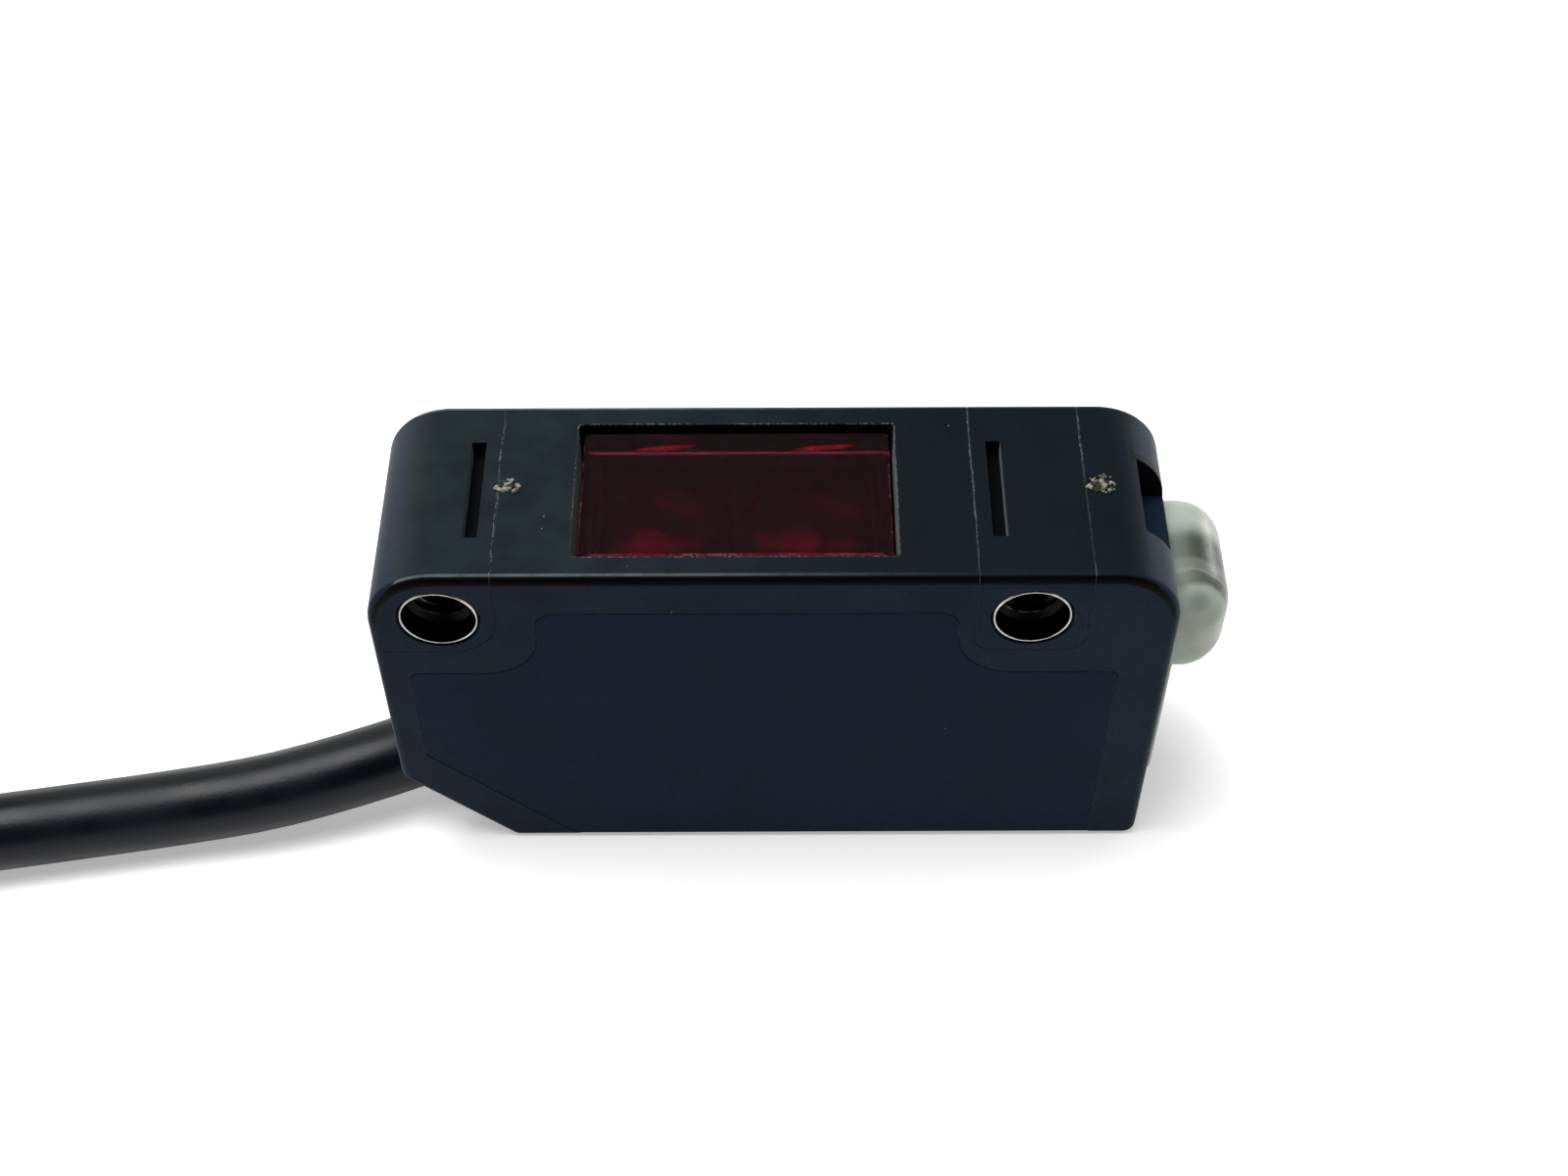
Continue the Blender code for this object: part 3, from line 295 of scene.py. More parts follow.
@dataclass(frozen=True)
class Moulding:
    """Matt moulded plastic, with its eroded grain, a film on top that is partly dust and partly painted
    light, painted shade and highlights on its edges and in its hollows, and dirt caught in its seams.
    """

    name: str
    colour: Colour
    # A paler film on the top face, partly dust and partly painted light.
    top_dust_and_light: Colour
    film_from: float = 1.0
    # Painted light: the faces below the top take this paler, bluer colour in place of the top's, for the
    # same plastic.
    sides: Colour | None = None
    # How the painted light on the top and on the edges fades, from the left end to the right.
    painted_light_fade: tuple[float, float] = (-0.0100, 0.0070)
    roughness: float = 0.48
    specular: float = 0.035
    sheen: float = 0.16
    grain: float = 0.00009
    grain_depth: float = 0.000010
    seams: tuple[float, ...] = ()
    seam_half: float = 0.00006
    lip: Rectangle | None = None
    # Where painted shade darkens the slots, the notch and the window's pocket.
    shaded_hollows: tuple[Rectangle, ...] = ()
    hollow_below: float = 0.01946
    hollow_above: float = 0.0166
    dust: Colour = (0.24, 0.245, 0.22)
    # A painted highlight on the rounded long edges of the lens face.
    edge_highlight: Colour | None = None
    mottle_size: float = 0.0045
    mottling: tuple[float, float] = (0.80, 1.22)
    film_edge: float = 0.0006
    smear_size: float = 0.0016
    specks: tuple[float, float, float] = (0.0011, 0.10, 0.035)
    top_specks: tuple[float, float, float] = (0.0016, 0.16, 0.05)
    sheen_roughness: float = 0.3
    sheen_tint: Colour = (0.9, 0.96, 1.0)
    wander_size: float = 0.0012
    wander: float = 0.00016
    face_edge: float = 0.00005
    seam_share: float = 0.55
    patch_size: float = 0.0006
    # How far past the film's fade the painted edge highlight reaches.
    highlight_past: float = 0.003

    def make(self) -> bpy.types.Material:
        """Builds the material.

        Returns:
            The material.
        """
        s = Shader(self.name)
        x, _, z = s.axes()
        grain = s.noise(self.grain, 3)
        mottle = s.fit(s.noise(self.mottle_size, 4), 0.3, 0.7)
        on_top = s.fit(z, self.film_from - self.film_edge, self.film_from)
        dark, pale = self.mottling
        base = s.mix(mottle, shade(self.colour, dark), shade(self.colour, pale))
        # Painted light: the faces below the top take the sides' colour, so that the top and the sides shade
        # differently.
        if self.sides:
            sides = s.mix(mottle, shade(self.sides, dark), shade(self.sides, pale))
            base = s.mix(on_top, sides, base)
        base = s.mix(s.fit(grain, 0.35, 0.75, 0.0, 0.5), base, shade(self.colour, 1.7))
        smear = s.fit(s.noise(self.smear_size, 5), 0.30, 0.72, 0.5, 1.0)
        # The film on top is partly dust and partly painted light: fullest at the lit left end, fading to
        # the right.
        left, right = self.painted_light_fade
        base = s.mix(s.both(on_top, smear, s.fit(x, left, right, 1.0, 0.12)), base, self.top_dust_and_light)
        # Painted shade and highlight on the rounded long edges of the lens face.
        if self.edge_highlight:
            base = self.painted_light(s, x, base)
        base = s.mix(self.caught(s, x, z), base, self.dust)
        base = s.mix(s.specks(*self.specks), base, self.dust)
        base = s.mix(s.both(on_top, s.specks(*self.top_specks)), base, shade(self.dust, 1.8))
        # Painted shade in the slots, the notch and the window's pocket.
        base = s.mix(self.hollow(s, z), base, shade(self.colour, 0.15))
        s.set(Base_Color=base, Specular_IOR_Level=self.specular)
        s.set(Sheen_Weight=self.sheen, Sheen_Roughness=self.sheen_roughness)
        s.set(Sheen_Tint=as_rgba(self.sheen_tint))
        s.set(Roughness=s.fit(grain, 0.2, 0.8, self.roughness - 0.06, self.roughness + 0.08))
        s.bump(grain, self.grain_depth)
        return s.material

    def caught(self, s: Shader, x: Socket, z: Socket) -> Socket:
        """Dust in the seams across the lens face and on the window's lip.

        Args:
            s: The material under construction.
            x: The place along the body.
            z: The height.

        Returns:
            A mask of the dust.
        """
        wander = s.math("MULTIPLY", s.math("SUBTRACT", s.noise(self.wander_size, 3), 0.5), self.wander)
        wavy = s.math("ADD", x, wander)
        lines: object = 0.0
        for seam in self.seams:
            lines = s.math("ADD", lines, s.line(s.math("SUBTRACT", wavy, seam), self.seam_half))
        if self.lip:
            lines = s.math("ADD", lines, s.line(s.beyond(self.lip), self.seam_half))
        flat = s.fit(z, self.hollow_below, self.hollow_below + self.face_edge)
        return s.both(lines, flat, self.seam_share)

    def painted_light(self, s: Shader, x: Socket, base: Socket) -> Socket:
        """Paints shade on the rounded long edges of the lens face, and a highlight where they start to
        turn.

        Args:
            s: The material under construction.
            x: The place along the body.
            base: The colour so far.

        Returns:
            The colour with its painted edge shade and highlight. The painted highlight fades to the right.
        """
        parts = s.add("ShaderNodeSeparateXYZ", {0: s.facing}).outputs
        tilt = s.math("ABSOLUTE", parts["Y"])
        edge = s.both(s.fit(parts["Z"], 0.0, 0.06), s.math("LESS_THAN", s.away(parts["X"], 0.0), 0.5))
        # Painted shade on the lower part of the rounded edges.
        base = s.mix(s.both(edge, s.fit(tilt, 0.35, 0.60)), base, shade(self.colour, 0.08))
        # A painted highlight where the edges start to turn, fading to the right.
        turning = s.both(s.fit(tilt, 0.08, 0.24), s.fit(tilt, 0.52, 0.36))
        left, right = self.painted_light_fade
        patchy = s.fit(s.noise(self.patch_size, 4), 0.25, 0.6, 0.5, 1.0)
        pale = s.both(turning, s.fit(x, left, right + self.highlight_past, 1.0, 0.03), patchy)
        return s.mix(s.both(edge, pale), base, self.edge_highlight)

    def hollow(self, s: Shader, z: Socket) -> Socket:
        """A mask of the insides of the slots, of the notch and of the window's pocket, where shade is
        painted.

        Args:
            s: The material under construction.
            z: The height.

        Returns:
            The mask.
        """
        mask: object = 0.0
        for area in self.shaded_hollows:
            mask = s.math("MAXIMUM", mask, s.math("LESS_THAN", s.beyond(area), 0.0))
        low = s.math("GREATER_THAN", z, self.hollow_above)
        return s.both(mask, low, s.math("LESS_THAN", z, self.hollow_below))


@dataclass(frozen=True)
class Glint:
    """A patch of light caught behind clear plastic: its middle, half its size, its tilt and strength."""

    middle: tuple[float, float]
    half: tuple[float, float]
    tilt: float
    share: float


@dataclass(frozen=True)
class ClearPlastic:
    """Clear coloured plastic with dust along its edge, a black border painted as shade, and light caught on
    its underside.
    """

    name: str
    colour: Colour
    roughness: float = 0.06
    clear: float = 1.0
    refraction: float = 1.49
    edge: Rectangle | None = None
    edge_half: float = 0.00005
    glints: tuple[Glint, ...] = ()
    glints_below: float = 0.0183
    # A border on the underside and walls, blackened as painted shade.
    border: Rectangle | None = None
    border_below: float = 0.0191
    border_colour: Colour = (0.004, 0.003, 0.003)
    caught: Colour = (0.95, 0.11, 0.15)
    dust: Colour = (0.20, 0.19, 0.18)
    haze_size: float = 0.0007
    specks: tuple[float, float, float] = (0.0008, 0.12, 0.05)
    edge_share: float = 0.6
    ripple_size: float = 0.0004
    ripple_stretch: tuple[float, float, float] = (1, 0.15, 1)
    ripple_depth: float = 0.000001
    patch_size: float = 0.0009
    patch_stretch: tuple[float, float, float] = (1, 0.4, 1)

    def make(self) -> bpy.types.Material:
        """Builds the material.

        Returns:
            The material.
        """
        s = Shader(self.name)
        haze = s.noise(self.haze_size, 4)
        base = s.mix(s.fit(haze, 0.3, 0.8), self.colour, shade(self.colour, 0.85))
        hidden: object = s.fit(haze, 0.3, 0.8, 1.0 - self.clear, 1.3 - 1.3 * self.clear)
        # Painted shade: the underside's border and the walls are blackened.
        if self.border:
            outside = s.math("GREATER_THAN", s.beyond(self.border), 0.0)
            border_shade = s.both(outside, s.math("LESS_THAN", s.axes()[2], self.border_below))
            base = s.mix(border_shade, base, self.border_colour)
            hidden = s.math("MAXIMUM", hidden, border_shade)
        if self.glints:
            light = self.light(s)
            base = s.mix(light, base, self.caught)
            hidden = s.math("MAXIMUM", hidden, light)
        dusty = s.specks(*self.specks)
        if self.edge:
            rim = s.line(s.beyond(self.edge), self.edge_half)
            rim = s.both(rim, s.math("GREATER_THAN", s.axes()[2], self.border_below), self.edge_share)
            dusty = s.math("MAXIMUM", dusty, rim)
        base = s.mix(dusty, base, self.dust)
        hidden = s.math("MAXIMUM", hidden, dusty)
        s.set(Base_Color=base, IOR=self.refraction)
        s.set(Transmission_Weight=s.math("SUBTRACT", 1.0, hidden))
        s.set(Roughness=s.fit(haze, 0.35, 0.75, self.roughness, self.roughness + 0.08))
        s.bump(s.noise(self.ripple_size, 3, self.ripple_stretch), self.ripple_depth)
        return s.material

    def light(self, s: Shader) -> Socket:
        """A mask of the light caught behind the plastic, on its underside only.

        Args:
            s: The material under construction.

        Returns:
            The mask.
        """
        x, y, z = s.axes()
        total: object = 0.0
        for glint in self.glints:
            across = s.math("SUBTRACT", x, glint.middle[0])
            up = s.math("SUBTRACT", y, glint.middle[1])
            bent = s.math("SUBTRACT", up, s.math("MULTIPLY", across, glint.tilt))
            long = s.math("DIVIDE", across, glint.half[0])
            wide = s.math("DIVIDE", bent, glint.half[1])
            out = s.math("ADD", s.both(long, long), s.both(wide, wide))
            total = s.math("MAXIMUM", total, s.fit(out, 1.0, 0.0, 0.0, glint.share))
        uneven = s.fit(s.noise(self.patch_size, 3, self.patch_stretch), 0.30, 0.6, 0.55, 1.0)
        return s.both(total, uneven, s.math("LESS_THAN", z, self.glints_below))


@dataclass(frozen=True)
class FrostedPlastic:
    """Milky plastic that lets light through, with the shade of what is inside it painted on as soft bands
    and a spot.
    """

    name: str
    colour: Colour
    # The colour of the painted shade inside the cap.
    inside: Colour
    bands: tuple[tuple[float, float, float], ...]
    bands_from: float
    spot: Point = (0.01875, -0.00297, 0.01534)
    spot_radius: float = 0.0010
    roughness: float = 0.40
    scatter: float = 0.0006
    scatter_share: float = 0.12
    scatter_reach: tuple[float, float, float] = (1.0, 1.0, 0.9)
    clear: float = 0.12
    refraction: float = 1.46
    specular: float = 0.35
    frost_size: float = 0.00012
    frost_depth: float = 0.000006
    warp_size: float = 0.0022
    warp: float = 0.0010
    band_fade: float = 0.0012
    band_reach: tuple[float, float] = (-0.0009, 0.0003)
    cloud_size: float = 0.0017

    def make(self) -> bpy.types.Material:
        """Builds the material.

        Returns:
            The material.
        """
        s = Shader(self.name)
        shadow = self.shadow(s)
        frost = s.noise(self.frost_size, 2)
        base = s.mix(shadow, self.colour, self.inside)
        milky = s.both(s.fit(frost, 0.3, 0.8, 0.0, 0.2), s.math("SUBTRACT", 1.0, shadow))
        s.set(Base_Color=s.mix(milky, base, shade(self.colour, 1.1)))
        s.set(Subsurface_Weight=self.scatter_share, Subsurface_Radius=self.scatter_reach)
        s.set(Subsurface_Scale=self.scatter, Specular_IOR_Level=self.specular)
        s.set(Transmission_Weight=self.clear, IOR=self.refraction)
        s.set(Roughness=s.fit(frost, 0.3, 0.8, self.roughness - 0.05, self.roughness + 0.08))
        s.bump(frost, self.frost_depth)
        return s.material

    def shadow(self, s: Shader) -> Socket:
        """A mask of painted shade from what is inside the plastic: bands near its top that darken towards
        the tip, a spot, and faint clouds.

        Args:
            s: The material under construction.

        Returns:
            The mask.
        """
        x, y, z = s.axes()
        warp = s.math("MULTIPLY", s.math("SUBTRACT", s.noise(self.warp_size, 2), 0.5), self.warp)
        depth = s.math("ADD", y, warp)
        bands: object = 0.0
        for middle, half, share in self.bands:
            line = s.fit(s.away(depth, middle), half, half * 0.25, 0.0, share)
            bands = s.math("MAXIMUM", bands, line)
        upper = s.fit(z, self.bands_from - self.band_fade, self.bands_from, 0.15, 1.0)
        dim_to, full_from = (self.spot[0] + reach for reach in self.band_reach)
        # Painted shade: the bands are stronger towards the tip.
        upper = s.both(upper, s.fit(x, dim_to, full_from, 0.7, 1.0))
        cloud = s.fit(s.noise(self.cloud_size, 2), 0.40, 0.75, 0.0, 0.22)
        out = s.span(*[s.math("SUBTRACT", place, at) for place, at in zip((x, y, z), self.spot)])
        dim = s.fit(out, self.spot_radius, 0.0, 0.0, 0.5)
        return s.math("MAXIMUM", s.math("MAXIMUM", s.both(bands, upper), cloud), dim)


@dataclass(frozen=True)
class TurnedMetal:
    """Machined metal with fine turning marks round the Y axis, and bores painted black as shade, with
    painted highlights on the thread crests.
    """

    name: str
    colour: Colour
    roughness: float
    marks: float = 0.00006
    bores: tuple[tuple[float, float], ...] = ()
    bore_radius: float = 0.0016
    crest_radius: float = 0.00129
    # Painted shade inside the bores, near black.
    bore_shade: Colour = (0.006, 0.006, 0.006)
    # A painted highlight on the thread crests in the bores.
    crest_highlight: Colour = (0.10, 0.095, 0.09)
    mark_stretch: tuple[float, float, float] = (0.15, 1, 0.15)
    mark_depth: float = 0.000003
    stain_size: float = 0.0006

    def make(self) -> bpy.types.Material:
        """Builds the material.

        Returns:
            The material.
        """
        s = Shader(self.name)
        rings = s.noise(self.marks, 3, self.mark_stretch)
        stain = s.noise(self.stain_size, 4)
        base = s.mix(s.fit(stain, 0.35, 0.75), self.colour, shade(self.colour, 0.6))
        x, _, z = s.axes()
        # Painted shade: the bores are painted near black, with a painted highlight on the crests of the
        # thread.
        for across, up in self.bores:
            out = s.span(s.away(x, across), s.away(z, up))
            painted_light = s.both(s.math("LESS_THAN", out, self.crest_radius), s.fit(stain, 0.45, 0.65))
            painted_bore = s.mix(painted_light, self.bore_shade, self.crest_highlight)
            base = s.mix(s.math("LESS_THAN", out, self.bore_radius), base, painted_bore)
        s.set(Base_Color=base, Metallic=1.0)
        s.set(Roughness=s.fit(rings, 0.3, 0.7, self.roughness - 0.06, self.roughness + 0.12))
        s.bump(rings, self.mark_depth)
        return s.material


@dataclass(frozen=True)
class Jacket:
    """Soft black cable jacket with a dull sheen and handling marks."""

    name: str
    colour: Colour
    roughness: float = 0.48
    specular: float = 0.5
    rub_size: float = 0.0035
    skin_size: float = 0.00016
    skin_depth: float = 0.00001

    def make(self) -> bpy.types.Material:
        """Builds the material.

        Returns:
            The material.
        """
        s = Shader(self.name)
        rub = s.noise(self.rub_size, 5)
        skin = s.noise(self.skin_size, 3)
        s.set(Base_Color=s.mix(s.fit(rub, 0.35, 0.7), self.colour, shade(self.colour, 1.5)))
        s.set(Specular_IOR_Level=self.specular)
        s.set(Roughness=s.fit(rub, 0.3, 0.75, self.roughness - 0.05, self.roughness + 0.1))
        s.bump(skin, self.skin_depth)
        return s.material


@dataclass(frozen=True)
class Webbing:
    """Woven strap, with a plain weave across and along it."""

    name: str
    colour: Colour
    thread: float = 0.0006
    roughness: float = 0.85
    sheen: float = 0.3
    sheen_roughness: float = 0.5
    weave_depth: float = 0.00015

    def make(self) -> bpy.types.Material:
        """Builds the material.

        Returns:
            The material.
        """
        s = Shader(self.name)
        x, y, z = s.axes()
        turn = FULL_TURN / self.thread
        across = s.math("SINE", s.math("MULTIPLY", x, turn))
        along = s.math("SINE", s.math("MULTIPLY", s.math("ADD", y, z), turn))
        weave = s.fit(s.math("MULTIPLY", across, along), -1, 1)
        s.set(Base_Color=s.mix(weave, shade(self.colour, 0.5), shade(self.colour, 1.6)))
        s.set(Roughness=self.roughness, Sheen_Weight=self.sheen, Sheen_Roughness=self.sheen_roughness)
        s.bump(weave, self.weave_depth)
        return s.material


@dataclass(frozen=True)
class TornPlastic:
    """Crumbs of torn plastic, some pale and some dark."""

    name: str
    pale: Colour
    dark: Colour
    size: float = 0.00030
    roughness: float = 0.8
    specular: float = 0.1
    depth: float = 0.00003

    def make(self) -> bpy.types.Material:
        """Builds the material.

        Returns:
            The material.
        """
        s = Shader(self.name)
        lot = s.noise(self.size, 2)
        grain = s.noise(self.size / 4, 3)
        base = s.mix(s.fit(lot, 0.40, 0.56), self.dark, self.pale)
        s.set(Base_Color=s.mix(s.fit(grain, 0.4, 0.65, 0.0, 0.6), base, shade(self.pale, 0.25)))
        s.set(Roughness=self.roughness, Specular_IOR_Level=self.specular)
        s.bump(grain, self.depth)
        return s.material


@dataclass(frozen=True)
class SmallPart:
    """A small inner component: coloured moulding, solder mask, tinned sheet or rubber."""

    name: str
    colour: Colour
    roughness: float
    metallic: float = 0.0
    blotch: float = 0.0009
    depth: float = 0.000006

    def make(self) -> bpy.types.Material:
        """Builds the material.

        Returns:
            The material.
        """
        s = Shader(self.name)
        tone = s.noise(self.blotch, 4)
        s.set(Base_Color=s.mix(s.fit(tone, 0.3, 0.7), shade(self.colour, 0.82), shade(self.colour, 1.15)))
        s.set(Metallic=self.metallic)
        s.set(Roughness=s.fit(tone, 0.25, 0.75, self.roughness - 0.06, self.roughness + 0.08))
        s.bump(s.noise(self.blotch / 6, 2), self.depth)
        return s.material


@dataclass(frozen=True)
class Corner:
    """A corner of an outline: its place, and the radius that rounds it."""

    across: float
    up: float
    radius: float = 0.0


class Shape:
    """A mesh under construction, made with bmesh operators."""

    def __init__(self) -> None:
        """Starts with nothing in it."""
        self.bm = bmesh.new()

    @classmethod
    def prism(cls, corners: Sequence[Corner], axis: Axis, low: float, high: float) -> Shape:
        """An outline drawn out along an axis, with its corners rounded.

        Args:
            corners: The outline.
            axis: The axis to draw it along.
            low: Where it starts.
            high: Where it ends.

        Returns:
            The closed shape.
        """
        shape = cls()
        bm = shape.bm
        order = axis.value
        along = Vector([float(order[k] == 2) for k in range(3)])
        flat = [(corner.across, corner.up, low) for corner in corners]
        verts = [bm.verts.new([spot[order[k]] for k in range(3)]) for spot in flat]
        face = bm.faces.new(verts)
        grown = bmesh.ops.extrude_face_region(bm, geom=[face])["geom"]
        moved = [item for item in grown if isinstance(item, bmesh.types.BMVert)]
        bmesh.ops.translate(bm, verts=moved, vec=along * (high - low))
        bmesh.ops.recalc_face_normals(bm, faces=bm.faces)
        uprights = []
        for vert in verts:
            uprights.append(next(e for e in vert.link_edges if abs(shape.way(e).dot(along)) > 0.9))
        for index, corner in enumerate(corners):
            if corner.radius > 0:
                before, after = corners[index - 1], corners[(index + 1) % len(corners)]
                back = Vector((before.across - corner.across, before.up - corner.up))
                onward = Vector((after.across - corner.across, after.up - corner.up))
                between = back.angle(onward)
                steps = max(2, math.ceil((math.pi - between) / ARC_STEP))
                shape.soften([uprights[index]], corner.radius / math.tan(between / 2), steps)
        return shape

    @classmethod
    def block(cls, low: Point, high: Point) -> Shape:
        """A plain block between two corners.

        Args:
            low: Its low corner.
            high: Its high corner.

        Returns:
            The block.
        """
        shape = cls()
        size = Vector(high) - Vector(low)
        middle = (Vector(high) + Vector(low)) / 2
        place = Matrix.Translation(middle) @ Matrix.Diagonal((*size, 1))
        bmesh.ops.create_cube(shape.bm, size=1.0, matrix=place)
        return shape

    @classmethod
    def bar(cls, start: Vector, end: Vector, radius: float, sides: int = 72) -> Shape:
        """A round bar from one point to another.

        Args:
            start: The middle of one end.
            end: The middle of the other end.
            radius: Its radius.
            sides: How many flat sides stand for the round.

        Returns:
            The bar.
        """
        shape = cls()
        way = end - start
        turn = way.to_track_quat("Z", "Y").to_matrix().to_4x4()
        bmesh.ops.create_cone(
            shape.bm,
            cap_ends=True,
            segments=sides,
            radius1=radius,
            radius2=radius,
            depth=way.length,
            matrix=Matrix.Translation((start + end) / 2) @ turn,
        )
        return shape

    @classmethod
    def turned(cls, profile: Sequence[tuple[float, float]], ring: bool, steps: int = 96) -> Shape:
        """A (radius, height) profile turned about Z.

        Args:
            profile: The profile, closed for a ring, or open from axis to axis.
            ring: Whether the profile is closed.
            steps: How many steps the full turn has.

        Returns:
            The closed shape.
        """
        shape = cls()
        bm = shape.bm
        verts = [bm.verts.new((radius, 0, height)) for radius, height in profile]
        pairs = list(zip(verts, verts[1:]))
        if ring:
            pairs.append((verts[-1], verts[0]))
        edges = [bm.edges.new(pair) for pair in pairs]
        bmesh.ops.spin(
            bm,
            geom=verts + edges,
            cent=(0, 0, 0),
            axis=(0, 0, 1),
            angle=FULL_TURN,
            steps=steps,
            use_merge=True,
            use_duplicate=False,
        )
        return shape.tidy()

    @staticmethod
    def way(edge: bmesh.types.BMEdge) -> Vector:
        """The direction of an edge."""
        return (edge.verts[1].co - edge.verts[0].co).normalized()

    def soften(self, edges: Iterable[bmesh.types.BMEdge], width: float, segments: int) -> Shape:
        """Rounds edges over a width on each side.

        Args:
            edges: The edges.
            width: How far the rounding reaches on each side.
            segments: How many steps it has.

        Returns:
            The shape itself.
        """
        bmesh.ops.bevel(
            self.bm,
            geom=list(edges),
            offset=width,
            affect="EDGES",
            segments=segments,
            profile=0.5,
            material=-1,
            clamp_overlap=True,
        )
        return self

    def rims(self, axis: Axis, height: float) -> list[bmesh.types.BMEdge]:
        """The sharp edges of the flat end that lies at a height along an axis.

        Args:
            axis: The axis.
            height: Where the end lies along it.

        Returns:
            The edges.
        """
        k = axis.value.index(2)
        level = [e for e in self.bm.edges if all(abs(v.co[k] - height) < 1e-6 for v in e.verts)]
        return [e for e in level if e.calc_face_angle(0) > math.radians(30)]

    def move(self, matrix: Matrix) -> Shape:
        """Moves the whole shape by a matrix."""
        bmesh.ops.transform(self.bm, matrix=matrix, verts=self.bm.verts)
        return self

    def tidy(self) -> Shape:
        """Merges doubles and turns every face outwards.

        Returns:
            The shape itself.
        """
        bmesh.ops.remove_doubles(self.bm, verts=self.bm.verts, dist=MERGE)
        bmesh.ops.recalc_face_normals(self.bm, faces=self.bm.faces)
        return self

    def as_object(self, name: str) -> bpy.types.Object:
        """The shape as an object at the origin, smooth where its faces meet at a small angle.

        Args:
            name: The object's name.

        Returns:
            The object.
        """
        mesh = bpy.data.meshes.new(name)
        self.bm.to_mesh(mesh)
        self.bm.free()
        obj = bpy.data.objects.new(name, mesh)
        bpy.context.scene.collection.objects.link(obj)
        smooth(mesh)
        return obj


def smooth(mesh: bpy.types.Mesh) -> None:
    """Shades a mesh smooth, with its real edges kept sharp."""
    mesh.shade_smooth()
    mesh.set_sharp_from_angle(angle=SMOOTH_ANGLE)


def carve(target: bpy.types.Object, how: Carve, shapes: Iterable[Shape]) -> bpy.types.Object:
    """Cuts shapes out of an object, joins them to it, or keeps what it shares with them.

    Args:
        target: The object to work on.
        how: What each shape does.
        shapes: The shapes, which are used up.

    Returns:
        The object, with the result as its own mesh.
    """
    helpers = []
    for shape in shapes:
        helper = shape.as_object("helper")
        step = target.modifiers.new("carve", "BOOLEAN")
        step.operation = how.value
        step.solver = "EXACT"
        step.object = helper
        helpers.append(helper)
    settle(target)
    for helper in helpers:
        mesh = helper.data
        bpy.data.objects.remove(helper, do_unlink=True)
        bpy.data.meshes.remove(mesh)
    return target


def settle(obj: bpy.types.Object) -> None:
    """Makes what an object's modifiers give its own mesh.

    Args:
        obj: The object.
    """
    bpy.context.view_layer.update()
    graph = bpy.context.evaluated_depsgraph_get()
    made = bpy.data.meshes.new_from_object(obj.evaluated_get(graph))
    made.name = obj.name
    obj.modifiers.clear()
    obj.data = made
    smooth(made)


def even_normals(obj: bpy.types.Object) -> None:
    """Gives flat faces the say in the shading of the narrow roundings beside them."""
    step = obj.modifiers.new("even_normals", "WEIGHTED_NORMAL")
    step.keep_sharp = True


def inset(corners: Sequence[Corner], distance: float) -> list[Corner]:
    """The corners of an anticlockwise outline moved inwards, or outwards where the distance is negative.

    Args:
        corners: The outline.
        distance: How far they move.

    Returns:
        The moved corners.
    """
    moved = []
    for index, corner in enumerate(corners):
        here = Vector((corner.across, corner.up))
        before, after = corners[index - 1], corners[(index + 1) % len(corners)]
        arriving = (here - Vector((before.across, before.up))).normalized()
        leaving = (Vector((after.across, after.up)) - here).normalized()
        first = Vector((-arriving.y, arriving.x))
        second = Vector((-leaving.y, leaving.x))
        place = here + (first + second) * distance / (1 + first.dot(second))
        change = -distance if arriving.cross(leaving) > 0 else distance
        radius = max(corner.radius + change, 0.0) if corner.radius > 0 else 0.0
        moved.append(Corner(place.x, place.y, radius))
    return moved


def rectangle(middle: tuple[float, float], size: tuple[float, float], radius: float = 0.0) -> list[Corner]:
    """The corners of a rectangle, anticlockwise from its low corner.

    Args:
        middle: Its middle.
        size: Its sides.
        radius: The radius of its corners.

    Returns:
        The corners.
    """
    across, up = middle
    half_across, half_up = size[0] / 2, size[1] / 2
    signs = ((-1, -1), (1, -1), (1, 1), (-1, 1))
    return [Corner(across + a * half_across, up + b * half_up, radius) for a, b in signs]


def smooth_route(points: Sequence[Sequence[float]], spacing: float) -> np.ndarray:
    """Points at a steady spacing along a smooth curve through the given ones.

    Args:
        points: The points to pass through.
        spacing: The distance between the points of the result.

    Returns:
        An array of points.
    """
    given = np.array(points, float)
    padded = np.vstack([2 * given[0] - given[1], given, 2 * given[-1] - given[-2]])
    fine = []
    for p0, p1, p2, p3 in zip(padded, padded[1:], padded[2:], padded[3:]):
        for t in np.linspace(0, 1, 24, endpoint=False):
            bend = 2 * p0 - 5 * p1 + 4 * p2 - p3
            twist = 3 * p1 - p0 - 3 * p2 + p3
            fine.append(p1 + 0.5 * t * ((p2 - p0) + t * (bend + t * twist)))
    line = np.array([*fine, given[-1]])
    steps = np.linalg.norm(np.diff(line, axis=0), axis=1)
    along = np.concatenate([[0], np.cumsum(steps)])
    stations = np.linspace(0, along[-1], max(2, round(along[-1] / spacing) + 1))
    return np.stack([np.interp(stations, along, line[:, k]) for k in range(3)], axis=1)


def path_length(points: np.ndarray) -> float:
    """The length of a line of points."""
    return float(np.linalg.norm(np.diff(points, axis=0), axis=1).sum())


def tube(name: str, points: np.ndarray, radius: float, resolution: int) -> bpy.types.Object:
    """A round cord along a line of points, as a curve of one open spline with closed ends.

    Args:
        name: The object's name.
        points: The line.
        radius: The cord's radius.
        resolution: How finely it is rounded.

    Returns:
        The curve's object.
    """
    curve = bpy.data.curves.new(name, "CURVE")
    curve.dimensions = "3D"
    curve.fill_mode = "FULL"
    curve.bevel_depth = radius
    curve.bevel_resolution = resolution
    curve.use_fill_caps = True
    spline = curve.splines.new("POLY")
    spline.points.add(len(points) - 1)
    for index, point in enumerate(points):
        spline.points[index].co = (*point, 1)
    spline.use_smooth = True
    obj = bpy.data.objects.new(name, curve)
    bpy.context.scene.collection.objects.link(obj)
    return obj


